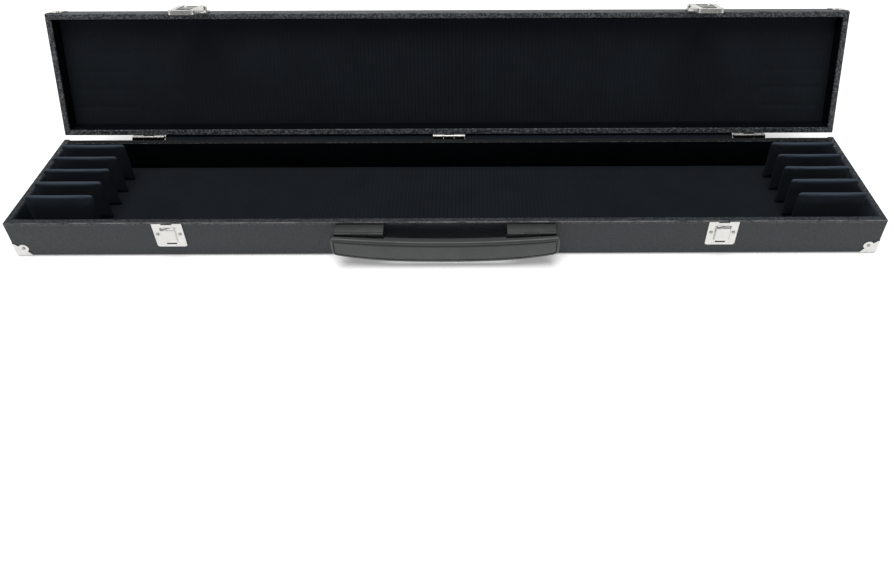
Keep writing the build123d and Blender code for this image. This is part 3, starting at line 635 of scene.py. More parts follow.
def raise_lap(bm, settings, high, middle):
    """Lifts the strip at the back where the cloth's two ends lap."""
    half = settings.lap_width / 2
    for x in (-half - settings.lap_height, -half, half, half + settings.lap_height):
        cut_at(bm, (middle + x, 0, 0), (1, 0, 0))
    for vert in bm.verts:
        if vert.co.y > high.y - 1e-5 and abs(vert.co.x - middle) < half + 1e-5:
            vert.co.y += settings.lap_height


def mark_rim(bm, settings, low, high, front_share, shade_back_rim):
    """Stores how much the cloth on the rim is crinkled, which also places the highlights painted on the
    crinkles, and where painted shade darkens the back rim.
    """
    for drop in (2.0, 3.4):
        cut_at(bm, (0, 0, high.z - drop * settings.corner_radius), (0, 0, 1))
    rim, back_rim_shade = bm.verts.layers.float.new("rim"), bm.verts.layers.float.new("back_rim_shade")
    for vert in bm.verts:
        if vert.co.z < high.z - 2.1 * settings.corner_radius:
            continue
        vert[rim] = front_share if vert.co.y < low.y + settings.wall * 1.2 else 1.0
        behind = vert.co.y - (high.y - settings.wall)
        # The back rim between the end boards is marked for painted shade
        if shade_back_rim and behind > settings.rim_radius * 1.2 and abs(vert.co.x) < back_board_high.x + 0.1 * mm:
            vert[back_rim_shade] = 1.0


def mark_wear_and_highlight(bm, low, high, radius):
    """Stores how near each point is to the middle of a rounded edge, for scuffs and a painted highlight: full
    on the top edges, where the highlight is painted, and 0.35 elsewhere.
    """
    layer = bm.verts.layers.float.new("wear_and_highlight")
    for vert in bm.verts:
        gaps = sorted(min(vert.co[axis] - low[axis], high[axis] - vert.co[axis]) for axis in range(3))
        worn_and_highlit = gaps[0] < radius * 0.7 and 1e-5 < gaps[1] < radius * 0.7
        vert[layer] = (1.0 if vert.co.z > high.z - radius else 0.35) if worn_and_highlit else 0.0


def upside_down(low, high):
    """The corners of a box of the lid, turned over so that the lid is drawn with its opening up."""
    return Vector((low.x, low.y, -high.z)), Vector((high.x, high.y, -low.z))


def make_covers():
    settings = bpy.context.scene.bow_case_leathercloth
    cloth = finish_of("Leathercloth")
    base = cover_shell(settings, base_low, base_high, True)
    crease_mitres(base, settings, base_high)
    lower_back_rim(base, settings, base_high, back_board_high.x)
    raise_lap(base, settings, base_high, -hinge_place.y * 2)
    mark_rim(base, settings, base_low, base_high, 0.3, True)
    mark_wear_and_highlight(base, base_low, base_high, settings.corner_radius)
    base_piece = put("Base_cover", base, cloth, "base", ["base_side_covering"])
    low, high = upside_down(lid_low, lid_high)
    lid = cover_shell(settings, low, high, False)
    crease_mitres(lid, settings, high)
    raise_lap(lid, settings, high, hinge_place.y * 2)
    mark_rim(lid, settings, low, high, 1.0, False)
    mark_wear_and_highlight(lid, low, high, settings.corner_radius)
    lid_piece = put("Lid_cover", lid, cloth, "lid", ["lid_covering"],
                    to_open @ flip_over)
    for piece in (base_piece, lid_piece):
        wall = piece.modifiers.new("Cloth thickness", "SOLIDIFY")
        wall.thickness = settings.thickness * 0.9
        wall.offset = -1.0
        even_shading(piece)
    finish_nodes(["base_bottom_sheet"], cloth)
    boards = [node for node in frame["nodes"] if node.endswith("_board")]
    finish_nodes(boards, finish_of("Fibreboard"))


# Plush
def ribbed_panel(settings, low, high, rows, dents=()):
    """A soft panel that faces up, with ribs across it, rounded edges, an uneven swell and dents."""
    columns = ceil((high.x - low.x) / settings.rib_pitch) * 4
    bm = bmesh.new()
    size = Matrix.Diagonal((high.x - low.x, high.y - low.y, 1, 1))
    middle = Matrix.Translation((*((low + high) / 2).xy, high.z))
    bmesh.ops.create_grid(bm, x_segments=columns, y_segments=rows, size=0.5, matrix=middle @ size)
    edge = settings.edge_round
    groove_shade = bm.verts.layers.float.new("groove_shade")
    for vert in bm.verts:
        x, y = vert.co.x, vert.co.y
        rib = 2 * ((x / settings.rib_pitch) % 1.0) - 1
        vert.co.z -= settings.rib_height * rib ** 4
        # How much painted shade darkens the pile in the rib's groove
        vert[groove_shade] = 0.45 * rib ** 4
        soft = noise.noise(Vector((x * 14, y * 30, low.z * 100)))
        vert.co.z -= settings.swell * (0.5 - 0.5 * soft)
        for start, end, line in dents:
            inside = min(1.0, max(0.0, min(x - start, end - x) / (2 * mm)))
            vert.co.z -= settings.dent_depth * inside * max(0.0, 1 - ((y - line) / (2.6 * mm)) ** 2)
        border = min(x - low.x, high.x - x, y - low.y, high.y - y)
        if border < edge:
            vert.co.z -= edge - sqrt(edge ** 2 - (edge - border) ** 2)
        vert.co.z = max(vert.co.z, low.z + 0.1 * mm)
    close_below(bm, low.z)
    return bm


def close_below(bm, level):
    """Brings the border of an open sheet down to a level and closes it there."""
    border = [edge for edge in bm.edges if edge.is_boundary]
    made = bmesh.ops.extrude_edge_only(bm, edges=border)
    verts = [item for item in made["geom"] if isinstance(item, bmesh.types.BMVert)]
    for vert in verts:
        vert.co.z = level
    loop = [item for item in made["geom"] if isinstance(item, bmesh.types.BMEdge) and item.is_boundary]
    bmesh.ops.edgeloop_fill(bm, edges=loop)
    bmesh.ops.recalc_face_normals(bm, faces=bm.faces)


def lining_strips(low, high, back_top, wide):
    """Four strips of plush round the inner walls. Low and high are the room between them."""
    bm = bmesh.new()
    add_box(bm, (low.x, low.y - wide, low.z), (high.x, low.y, high.z), 0.3 * mm)
    add_box(bm, (low.x, high.y, low.z), (high.x, high.y + wide, back_top), 0.3 * mm)
    add_box(bm, (low.x - wide, low.y - wide, low.z), (low.x, high.y + wide, high.z), 0.3 * mm)
    add_box(bm, (high.x, low.y - wide, low.z), (high.x + wide, high.y + wide, high.z), 0.3 * mm)
    long_edges = [edge for edge in bm.edges if edge.calc_length() > 0.09]
    bmesh.ops.subdivide_edges(bm, edges=long_edges, cuts=40, use_grid_fill=True)
    for vert in bm.verts:
        ripple = noise.noise(vert.co * 40) * 0.12 * mm
        vert.co.x += ripple if abs(vert.co.x) > abs(high.x) else 0
        vert.co.y += ripple if abs(vert.co.y) > abs(high.y) else 0
    return bm


def make_linings():
    settings = bpy.context.scene.bow_case_plush
    pile, lining = finish_of("Plush"), finish_of("Lining_plush_painted_shade")
    thickness, rim_drop = 0.7 * mm, 0.8 * mm
    high = Vector((floor_high.x, floor_high.y, base_high.z - rim_drop))
    base = lining_strips(floor_low, high, back_board_high.z, thickness)
    # Painted light on the lining of the end walls, as if lit from above
    nap_and_painted_light = base.verts.layers.float.new("nap_and_painted_light")
    for vert in base.verts:
        vert[nap_and_painted_light] = 0.8 if abs(vert.co.x) > floor_high.x - 3 * thickness else 0.0
    put("Base_wall_lining", base, lining, "base", ["base_wall_lining"])
    low = Vector((floor_low.x, floor_low.y, lid_low.z + rim_drop))
    high = Vector((floor_high.x, floor_high.y, lid_pad_high.z))
    lid = lining_strips(low, high, high.z, thickness)
    put("Lid_wall_lining", lid, lining, "lid", ["lid_wall_lining"], to_open)
    floor = ribbed_panel(settings, floor_low, floor_high, 40)
    floor_piece = put("Floor_panel", floor, pile, "base", ["floor_pad"])
    dents = []
    for node in holder_names:
        start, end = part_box(node)
        dents.append((start.x, end.x, (start.y + end.y) / 2))
    lid_panel = ribbed_panel(settings, *upside_down(lid_pad_low, lid_pad_high), 76, dents)
    lid_piece = put("Lid_panel", lid_panel, finish_of("Lid_plush_painted_light"), "lid", ["lid_pad"],
                    to_open @ flip_over)


def mesh_of(piece):
    """A piece's mesh with its modifiers applied, as a bmesh."""
    evaluated = piece.evaluated_get(bpy.context.evaluated_depsgraph_get())
    bm = bmesh.new()
    bm.from_mesh(evaluated.to_mesh())
    evaluated.to_mesh_clear()
    return bm


def loose_piece(bm, name="Draft"):
    """A draft object that is worked on and then thrown away."""
    mesh = bpy.data.meshes.new(name)
    bm.to_mesh(mesh)
    bm.free()
    piece = bpy.data.objects.new(name, mesh)
    bpy.context.scene.collection.objects.link(piece)
    return piece


def throw_away(piece):
    mesh = piece.data
    bpy.data.objects.remove(piece)
    bpy.data.meshes.remove(mesh)


def remeshed(bm, voxel):
    """The same shape in small even faces."""
    draft = loose_piece(bm)
    remesh = draft.modifiers.new("Even faces", "REMESH")
    remesh.mode = "VOXEL"
    remesh.voxel_size = voxel
    made = mesh_of(draft)
    throw_away(draft)
    return made


def swollen(bm, settings):
    """Blows a soft shape up a little, as cloth over its filling, and caps how far it goes."""
    start = [vert.co.copy() for vert in bm.verts]
    draft = loose_piece(bm)
    cloth = draft.modifiers.new("Swell", "CLOTH")
    cloth.settings.quality = 5
    cloth.settings.use_pressure = True
    cloth.settings.uniform_pressure_force = settings.pressure
    cloth.settings.effector_weights.gravity = 0.0
    cloth.point_cache.frame_start = 1
    cloth.point_cache.frame_end = settings.frames
    scene = bpy.context.scene
    for step in range(1, settings.frames + 1):
        scene.frame_set(step)
    made = mesh_of(draft)
    throw_away(draft)
    scene.frame_set(1)
    for vert, before in zip(made.verts, start):
        move = vert.co - before
        if move.length > settings.cap:
            vert.co = before + move.normalized() * settings.cap
    return made


def bow_holder(settings, node):
    """One plush board on edge: padded, with soft edges and rounded upper corners."""
    low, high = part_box(node)
    pull, slack = settings.shrink, 0.3 * mm
    left, right, back, top = low.x + pull, high.x - pull, high.y - pull, high.z - pull
    bm = bmesh.new()
    face = add_outline(bm, [(left, back, low.z), (right, back, low.z), (right, back, top), (left, back, top)])
    round_corners(bm, [vert for vert in face.verts if vert.co.z > low.z + 1e-4], settings.corner)
    thicken(bm, bm.faces[:], (0, low.y - high.y + 2 * pull, 0))
    outward(bm)
    bm = swollen(remeshed(bm, settings.voxel), settings)
    for vert in bm.verts:
        vert.co.y += noise.noise(vert.co * 55) * slack
        vert.co.z = min(max(vert.co.z, low.z + 0.02 * mm), high.z)
        vert.co.y = min(max(vert.co.y, low.y - slack), high.y + slack)
    bmesh.ops.smooth_vert(bm, verts=bm.verts, factor=0.5, use_axis_x=True, use_axis_y=True, use_axis_z=True)
    return bm


def mark_painted_top_light(bm):
    """Stores painted light: how far each point faces up, where the pile is painted brighter as if lit from
    above.
    """
    bm.normal_update()
    nap_and_painted_light = bm.verts.layers.float.new("nap_and_painted_light")
    for vert in bm.verts:
        vert[nap_and_painted_light] = min(1.0, max(0.0, vert.normal.z * 1.5 - 0.3))


def make_holders():
    settings = bpy.context.scene.bow_case_holders
    for node in holder_names:
        name = "Holder" + node.removeprefix("bow_holder")
        pad = bow_holder(settings, node)
        mark_painted_top_light(pad)
        piece = put(name, pad, finish_of("Holder_plush"), "base", [node], crisp=80)
        finer = piece.modifiers.new("Finer", "SUBSURF")
        finer.levels = finer.render_levels = 1


# Seam strips
def strip_path():
    """Section of a seam strip at rest, as points in the YZ plane, from the base to the lid."""
    glued, free, gap = 7 * mm, 5 * mm, 0.35 * mm
    back = base_high.y + gap
    angle = radians(open_degrees)
    along = Vector((0, sin(angle), cos(angle)))
    away = Vector((0, -cos(angle), sin(angle)))
    base_start = Vector((0, back, hinge_place.z - free - glued))
    base_end = Vector((0, back, hinge_place.z - free))
    offset = hinge_place.y - base_high.y - gap
    lid_start = hinge_place + away * offset + along * free
    lid_end = lid_start + along * glued
    bend = hinge_place + Vector((0, 0.2 * mm, -0.6 * mm))
    path = [base_start]
    steps = 12
    for step in range(steps + 1):
        t = step / steps
        path.append(base_end * (1 - t) ** 2 + bend * 2 * t * (1 - t) + lid_start * t ** 2)
    return path + [lid_end]


def seam_strip(path, x0, x1):
    """A strip of cloth that is slack and a little uneven over the hinge line."""
    steps, slack_reach, unevenness, thickness = 46, 4 * mm, 0.35 * mm, 0.5 * mm
    bm = bmesh.new()
    verts = [bm.verts.new(point + Vector((x0, 0, 0))) for point in path]
    edges = [bm.edges.new(pair) for pair in zip(verts, verts[1:])]
    for _ in range(steps):
        made = bmesh.ops.extrude_edge_only(bm, edges=edges)["geom"]
        moved = [item for item in made if isinstance(item, bmesh.types.BMVert)]
        bmesh.ops.translate(bm, verts=moved, vec=((x1 - x0) / steps, 0, 0))
        edges = [item for item in made if isinstance(item, bmesh.types.BMEdge)
                 and all(v in moved for v in item.verts)]
    for vert in bm.verts:
        loose = max(0.0, 1 - abs(vert.co.y - hinge_place.y) / slack_reach)
        vert.co.z += noise.noise(vert.co * 60) * unevenness * loose
    bmesh.ops.recalc_face_normals(bm, faces=bm.faces)
    bmesh.ops.solidify(bm, geom=bm.faces[:], thickness=thickness)
    outward(bm)
    return bm


def make_seam_strips():
    path = strip_path()
    gap = 0.15 * mm
    inner_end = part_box("hinge_base_leaf_middle")[1].x + gap
    outer_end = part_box("hinge_base_leaf_right")[0].x - gap
    for name, side in sides.items():
        x0, x1 = sorted((side * inner_end, side * outer_end))
        piece = put(f"Seam_strip_{name}", seam_strip(path, x0, x1), finish_of("Seam_cloth"), None,
                    ["seam_strips"])
        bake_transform(piece)


# Latches
def latch_place(side):
    """Carries a latch, drawn with x across, z up from the rim and minus y outwards, to the shut case."""
    return Matrix.Translation((side * latch_x, front_y, base_high.z))


def plate_outline(bm, points, out):
    """A flat face that looks out of the case's front, from points across and up."""
    return add_outline(bm, [(u * mm, -out * mm, w * mm) for u, w in points])


def raised_sheet(bm, face, out, edge):
    """Gives a flat outline its thickness outwards and rounds its front edges."""
    verts = thicken(bm, [face], (0, -out * mm, 0))
    front = {edge_ for vert in verts for edge_ in vert.link_edges if all(v in verts for v in edge_.verts)}
    round_edges(bm, front, edge, 3)


def arc(centre, radius, first, last, steps):
    """Points along an arc of a section, between two angles in degrees."""
    points = []
    for step in range(steps + 1):
        turn = radians(first + (last - first) * step / steps)
        points.append((centre[0] + radius * cos(turn), centre[1] + radius * sin(turn)))
    return points


def out_and_up(pin):
    """How far a latch pin stands out of the front and above the base's rim, in millimetres."""
    return -(pin.y - front_y) / mm, (pin.z - base_high.z) / mm


def add_side_sheet(bm, side, near, far, section):
    """A sheet on edge at one side of a latch, from a section of how far out and how high."""
    inner, outer = sorted((side * near, side * far))
    face = add_outline(bm, [(inner * mm, -v * mm, w * mm) for v, w in section])
    thicken(bm, [face], ((outer - inner) * mm, 0, 0))


def add_pin_end(bm, side, near, far, pin, radius, segments, rounding):
    """One end of a latch pin, with a rounded head."""
    out, up = out_and_up(pin)
    add_rod(bm, (side * near * mm, -out * mm, up * mm), (side * far * mm, -out * mm, up * mm), radius * mm,
            segments, rounding * mm)


def lid_plate(settings):
    """The lid's plate: clipped corners, a pressed trapezoid, and an ear at each side for the pin."""
    bm = bmesh.new()
    half, low, high, clip = 14.0, 1.0, 16.5, 4.0
    points = [(-half, low), (half, low), (half, high - clip), (half - clip, high), (clip - half, high),
              (-half, high - clip)]
    raised_sheet(bm, plate_outline(bm, points, 0), 0.8, settings.edge)
    crest = [(-4.6, 8.0), (4.6, 8.0), (7.0, 13.6), (-7.0, 13.6)]
    face = plate_outline(bm, crest, 0.6)
    raised_sheet(bm, face, 0.75, settings.edge)
    front = [f for f in bm.faces if is_near(f.calc_center_median().y, -1.35 * mm) and len(f.verts) == 4]
    bmesh.ops.inset_region(bm, faces=front, thickness=0.7 * mm, use_even_offset=True)
    bmesh.ops.inset_region(bm, faces=front, thickness=0.4 * mm, depth=-0.9 * mm, use_even_offset=True)
    pin = out_and_up(lever_pin)
    section = [(0.0, low), (0.0, 9.0), (2.0, 9.0), (2.3, 4.6), (4.2, pin[1] + 2.4)]
    section += arc(pin, 2.4, 85, -140, 9)
    for side in (-1, 1):
        add_side_sheet(bm, side, 13.1, 14.0, section)
        add_pin_end(bm, side, 13.6, 14.5, lever_pin, 1.35, 20, 0.35)
    outward(bm)
    return bm


def lever_frame(settings):
    """The lever: a U of pressed sheet round the claw's window, with two ridges and turned-in sides."""
    bm = bmesh.new()
    half, window, low, high, window_low = 12.8, 7.5, -33.0, -2.5, -27.5
    points = [(-half, high), (-half, low), (half, low), (half, high), (window, high), (window, window_low),
              (-window, window_low), (-window, high)]
    face = plate_outline(bm, points, 7.3)
    outer = [v for v in face.verts if is_near(v.co.z, low * mm)]
    round_corners(bm, outer, 5.0 * mm, 8)
    inner = [v for v in bm.verts if is_near(v.co.z, window_low * mm) and abs(v.co.x) < 8 * mm]
    round_corners(bm, inner, 2.6 * mm, 5)
    border = [edge for edge in bm.edges if edge.is_boundary]
    faces = bm.faces[:]
    for thickness, depth in ((0.35, 0.35), (0.4, 0.35), (0.3, 0.0), (0.5, -0.45), (0.2, 0.0), (0.45, 0.5)):
        bmesh.ops.inset_region(bm, faces=faces, thickness=thickness * mm, depth=depth * mm,
                               use_even_offset=True)
    skirt = bmesh.ops.extrude_edge_only(bm, edges=border)["geom"]
    for vert in (item for item in skirt if isinstance(item, bmesh.types.BMVert)):
        outside = abs(vert.co.x) > 8 * mm or vert.co.z < (window_low - 0.5) * mm
        if vert.co.z < (high - 0.5) * mm or abs(vert.co.x) > 12.5 * mm:
            vert.co.y = (-4.0 if outside else -6.2) * mm
        else:
            vert.co.y = -6.2 * mm
    bmesh.ops.recalc_face_normals(bm, faces=bm.faces)
    bmesh.ops.solidify(bm, geom=bm.faces[:], thickness=settings.sheet)
    pin_out, pin_up = out_and_up(lever_pin)
    claw_up = out_and_up(claw_pin)[1]
    arm = [(4.0, high - 2), (7.3, high - 2), (8.0, high)]
    for up, radius, first, last in ((pin_up, 2.1, 20, 60), (claw_up, 1.7, 10, 170), (pin_up, 2.1, 140, 230)):
        arm += arc((pin_out, up), radius, first, last, 5)
    for side in (-1, 1):
        add_side_sheet(bm, side, 11.8, half, arm)
        shoulder = [(side * 7.4, high), (side * half, high), (side * half, -0.6), (side * 7.4, 3.4)]
        raised_sheet(bm, plate_outline(bm, shoulder, 7.2), 0.9, settings.edge)
        add_pin_end(bm, side, 9.8, 11.9, lever_pin, 0.9, 16, 0.2)
    outward(bm)
    return bm


def claw_plate(settings):
    """The claw: a creased strip that rolls round its pin, and hooks under the catch's box."""
    bm = bmesh.new()
    pin_out, pin_up = out_and_up(claw_pin)
    outer, sheet, crease, step_in, hook_top, reach = pin_out + 0.5, 1.0, -10.5, 1.0, -22.2, 2.2
    low_out = outer - step_in
    section = [(low_out, crease - 1.0), (low_out, hook_top - 0.5), (low_out - 0.5, hook_top - 1),
               (reach, hook_top - 1), (reach, hook_top), (low_out - sheet, hook_top),
               (low_out - sheet, crease - 1.0), (outer - sheet, crease), (outer - sheet, pin_up - 1.6)]
    section += arc((pin_out, pin_up), 1.7, 230, -34, 11)
    section += [(outer + 0.35, pin_up - 1.7), (outer, crease)]
    half = 6.5
    face = add_outline(bm, [(-half * mm, -v * mm, w * mm) for v, w in section])
    thicken(bm, [face], (2 * half * mm, 0, 0))
    for x in (-5.6, -4, -2, 0, 2, 4, 5.6):
        cut_at(bm, (x * mm, 0, 0), (1, 0, 0))
    for vert in bm.verts:
        if vert.co.z > (pin_up + 0.4) * mm:
            vert.co.z += (0.9 - 2.1 * (vert.co.x / (half * mm)) ** 2) * mm
    outward(bm)
    round_edges(bm, [e for e in bm.edges if e.calc_face_angle(0) > 0.9], settings.edge * 0.8, 2)
    return bm


def catch(settings):
    """The plate on the base: round lower corners, a notch above, and a box that the claw hooks under."""
    bm = bmesh.new()
    half, high, low, notch, depth, plate_out = 13.65, -0.5, -28.5, 5.0, 1.2, 0.8
    points = [(-half, low), (half, low), (half, high), (notch, high), (notch, high - depth),
              (-notch, high - depth), (-notch, high), (-half, high)]
    face = plate_outline(bm, points, plate_out)
    round_corners(bm, [v for v in face.verts if is_near(v.co.z, low * mm)], 2.5 * mm, 6)
    width, top, bottom, proud, slope, narrowing = 7.4, -5.4, -21.8, 2.9, 1.6, 0.84
    for x in (-width, width):
        cut_at(bm, Vector((x, 0, 0)) * mm, (1, 0, 0))
    for z in (top, bottom):
        cut_at(bm, Vector((0, 0, z)) * mm, (0, 0, 1))
    raised = [f for f in bm.faces if abs(f.calc_center_median().x) < width * mm
              and bottom * mm < f.calc_center_median().z < top * mm]
    made = bmesh.ops.extrude_face_region(bm, geom=raised)
    verts = [item for item in made["geom"] if isinstance(item, bmesh.types.BMVert)]
    bmesh.ops.translate(bm, verts=verts, vec=(0, (plate_out - proud) * mm, 0))
    for vert in verts:
        if vert.co.z > (top - 1) * mm:
            vert.co.z -= slope * mm
        vert.co.x *= narrowing
    slot_low, slot_half = bottom - 3.7, 4.6
    cut_at(bm, Vector((0, 0, slot_low)) * mm, (0, 0, 1))
    for side in (-1, 1):
        cut_at(bm, Vector((side * slot_half, 0, 0)) * mm, (1, 0, 0))
    walls = [f for f in bm.faces if slot_low < f.calc_center_median().z / mm < bottom + 0.01
             and abs(f.calc_center_median().x) < slot_half * mm]
    bmesh.ops.delete(bm, geom=[*walls, *(f for f in raised if f.is_valid)], context="FACES_ONLY")
    bmesh.ops.recalc_face_normals(bm, faces=bm.faces)
    folds = [e for e in bm.edges if e.calc_face_angle(0) > 0.3]
    round_edges(bm, folds, 0.35 * mm, 3)
    bmesh.ops.recalc_face_normals(bm, faces=bm.faces)
    bmesh.ops.solidify(bm, geom=bm.faces[:], thickness=settings.sheet * 0.9)
    outward(bm)
    return bm


def make_latches():
    settings = bpy.context.scene.bow_case_metal
    metal = finish_of("Nickel")
    for name, side in sides.items():
        place = latch_place(side)
        lifted = to_open @ turn_about(Vector((0, claw_pin.y, claw_pin.z)), -claw_lift) @ place
        even_shading(put(f"Lid_plate_{name}", lid_plate(settings), metal, "lid",
                         [f"latch_plate_{name}"], to_open @ place, 35))
        even_shading(put(f"Lever_{name}", lever_frame(settings), metal, f"lever_{name}",
                         [f"latch_lever_{name}"], to_open @ place, 35))
        even_shading(put(f"Claw_{name}", claw_plate(settings), metal, f"claw_{name}",
                         [f"latch_claw_{name}"], lifted, 40))
        even_shading(put(f"Catch_{name}", catch(settings), metal, "base", [f"catch_plate_{name}"],
                         place, 35))


# Handle
def bow_grip(bm, settings, half, top, height):
    """Bends the grip's straight outline to its hanging bow, deeper below than above."""
    end_low = top - height
    for vert in bm.verts:
        along = min(1.0, abs(vert.co.x) / half)
        up = (vert.co.z - end_low) / height
        upper = top - settings.top_bow * (1 - along ** 2)
        lower = end_low - settings.bottom_bow * (1 - along ** 2.8)
        vert.co.z = lower * (1 - up) + upper * up


def cut_grip(bm, top):
    """Divides the grip along and across, closely at the tabs' ends, so that it can bow and hollow."""
    cuts = [step * 5 * mm for step in range(-20, 21)]
    for side in (-1, 1):
        cuts += [side * x for x in (tab_low.x - 1.0 * mm, tab_low.x - 0.7 * mm, tab_high.x + 0.7 * mm,
                                    tab_high.x + 1.0 * mm)]
    for x in cuts:
        cut_at(bm, (x, 0, 0), (1, 0, 0))
    for drop in (2.7, 4.0, 5.4, 7.0, 10.0, 13.0, 16.0):
        cut_at(bm, (0, 0, top - drop * mm), (0, 0, 1))


def press_pockets(bm, settings):
    """Hollows the grip's back beside each tab, so that the lifted grip clears the tab."""
    for vert in bm.verts:
        beside_tab = tab_low.x - 0.8 * mm < abs(vert.co.x) < tab_high.x + 0.8 * mm
        rise = vert.co.z - handle_pin.z
        room = settings.pocket ** 2 - rise ** 2
        if beside_tab and room > 0:
            depth = max(room ** 0.5, settings.pocket + 0.2 * rise if rise > 0 else 0)
            vert.co.y = min(vert.co.y, handle_pin.y - depth)


def grip_body(settings):
    """The padded grip: bowed edges, round corners, a rim band and a groove round a crowned face."""
    bm = bmesh.new()
    half, top, height = grip_high.x, base_high.z - 4.4 * mm, 20.0 * mm
    back, front = front_y - 9.4 * mm, front_y - 17.0 * mm
    face = add_outline(bm, [(-half, back, top), (-half, back, top - height), (half, back, top - height),
                            (half, back, top)])
    round_corners(bm, [v for v in face.verts if v.co.z < top - height / 2], settings.bottom_corner, 6)
    thicken(bm, bm.faces[:], (0, front - back, 0))
    outward(bm)
    round_edges(bm, folds_over(bm, sharp_corner), settings.top_corner, 5)
    face = [f for f in bm.faces if f.normal.y < -0.95 and is_near(f.calc_center_median().y, front)]
    half_groove, depth = settings.groove_width / 2, settings.groove_depth
    rim = settings.rim_width - settings.top_corner
    steps = ((rim, 0.0), (half_groove, -depth), (half_groove, depth * 0.55), (0.6 * mm, depth * 0.3))
    for thickness, rise in steps:
        bmesh.ops.inset_region(bm, faces=face, thickness=thickness, depth=rise, use_even_offset=True)
    inside = front + 0.16 * depth
    cut_grip(bm, top)
    for vert in bm.verts:
        if vert.co.y < inside:
            up = (vert.co.z - top + height) / height
            across = min(1.0, (half - abs(vert.co.x)) / (8 * mm))
            vert.co.y -= settings.crown * (1 - (2 * up - 1) ** 2) * across
    bow_grip(bm, settings, half, top, height)
    press_pockets(bm, settings)
    return bm


def add_lug(bm, side):
    """The loop of vinyl that hangs from the tab's pin and joins the grip's back."""
    middle, reach = side * (tab_low.x + tab_high.x) / 2, 7.0 * mm
    neck = [(-0.95, 1.9), (1.45, 1.0), (1.45, 3.8), (2.55, 4.9), (2.0, 6.6), (1.0, 6.6)]
    points = [(middle - reach, handle_pin.y - v * mm, handle_pin.z - drop * mm) for v, drop in neck]
    thicken(bm, [add_outline(bm, points)], (2 * reach, 0, 0))
    add_rod(bm, (middle - reach, handle_pin.y, handle_pin.z), (middle + reach, handle_pin.y, handle_pin.z),
            1.88 * mm, 24, 0.3 * mm)


def tab_section(slotted):
    """Section of a tab, as how far it stands out and its height, with or without the slot for the lug."""
    high, out, foot = tab_high.z / mm, 10.8, 2.2
    low = high - 5.6
    foot_low = high - 11.0
    top = [(0, foot_low), (0, high + 1.3), (2.0, high + 1.15), (4.5, high + 0.8), (6.5, high + 0.35),
           (8.0, high), (8.3, high - 0.15), (8.6, high), (9.4, high), (10.4, high - 0.3)]
    if not slotted:
        return top + [(out, high - 0.9), (out, low + 0.9), (10.4, low + 0.3), (9.4, low), (foot, low),
                      (foot, foot_low)]
    pin_out, pin_up, reach = -(handle_pin.y - front_y) / mm, handle_pin.z / mm, 2.25
    under = [(10.75, high - 0.35), (10.65, high - 0.5), (10.2, pin_up + 1.7), (9.6, pin_up + 2.05)]
    under += arc((pin_out, pin_up), reach, 80, 180, 6)
    return top + under + [(pin_out - reach, low), (foot, low), (foot, foot_low)]


def handle_tab():
    """The right tab: a folded pad of vinyl, open below its middle for the lug."""
    bm = bmesh.new()
    middle, reach = (tab_low.x + tab_high.x) / 2, 7.4 * mm
    for x0, x1, slotted in ((tab_low.x, middle - reach, False), (middle - reach, middle + reach, True),
                            (middle + reach, tab_high.x, False)):
        points = [(x0, front_y - v * mm, w * mm) for v, w in tab_section(slotted)]
        thicken(bm, [add_outline(bm, points)], (x1 - x0, 0, 0))
    outward(bm)
    ends = [e for e in folds_over(bm, sharp_corner) if e.calc_length() < 20 * mm
            and all(is_near(v.co.x, tab_low.x) or is_near(v.co.x, tab_high.x) for v in e.verts)]
    round_edges(bm, ends, 0.9 * mm, 4)
    return bm


def make_handle():
    settings = bpy.context.scene.bow_case_handle
    vinyl = finish_of("Handle_vinyl")
    grip = grip_body(settings)
    for side in sides.values():
        add_lug(grip, side)
    bmesh.ops.recalc_face_normals(grip, faces=grip.faces)
    piece = put("Grip", grip, vinyl, "handle", ["handle_grip"], crisp=50)
    even_shading(piece)
    for name, side in sides.items():
        tab = handle_tab()
        flip = Matrix.Diagonal((side, 1, 1, 1))
        piece = put(f"Tab_{name}", tab, finish_of("Tab_vinyl_painted_shade"), "base",
                    [f"handle_tab_{name}"], flip, 50)
        even_shading(piece)


def finish_hardware():
    metal = finish_of("Nickel")
    finish_nodes(["base_fasteners", "lid_fasteners"], finish_of("Nail_steel"))
    done = ("board", "cloth", "covering", "sheet", "lining", "pad", "holder", "strips", "handle_grip",
            "handle_tab", "latch_plate", "latch_lever", "latch_claw", "catch_plate", "fasteners")
    names = [node for node in frame["nodes"] if not any(part in node for part in done)]
    finish_nodes(names, metal)
    # The hinge leaves are darkened with painted shade
    finish_nodes([node for node in names if "_leaf_" in node], finish_of("Hinge_steel"))
    finish_nodes([node for node in names if node == "hinge_pins"], finish_of("Dark_steel"))


# Studio
def lay_floor(settings):
    """A wide pale floor, which isn't part of the object."""
    bm = bmesh.new()
    bmesh.ops.create_grid(bm, x_segments=4, y_segments=4, size=settings.floor_size / 2)
    mesh = bpy.data.meshes.new("Studio_floor")
    bm.to_mesh(mesh)
    bm.free()
    mesh.materials.append(finish_of("Studio_floor"))
    floor = bpy.data.objects.new("Studio_floor", mesh)
    bpy.context.scene.collection.objects.link(floor)


def light_studio(settings):
    """Soft light from above, and walls that look brighter to the camera than they shine."""
    scene = bpy.context.scene
    world = bpy.data.worlds.new("Studio")
    world.use_nodes = True
    sky = world.node_tree.nodes["Background"]
    seen = add_node(world.node_tree, "ShaderNodeLightPath").outputs["Is Camera Ray"]
    strength = spread(world.node_tree, seen, 0.0, 1.0, settings.sky, 1.0)
    sky.inputs["Color"].default_value = (1.0, 1.0, 1.0, 1.0)
    world.node_tree.links.new(strength, sky.inputs["Strength"])
    scene.world = world
    key = bpy.data.lights.new("Overhead_light", "SUN")
    key.energy = settings.key
    key.angle = radians(45)
    lamp = bpy.data.objects.new("Overhead_light", key)
    lamp.rotation_euler = (radians(6), radians(-4), 0)
    scene.collection.objects.link(lamp)


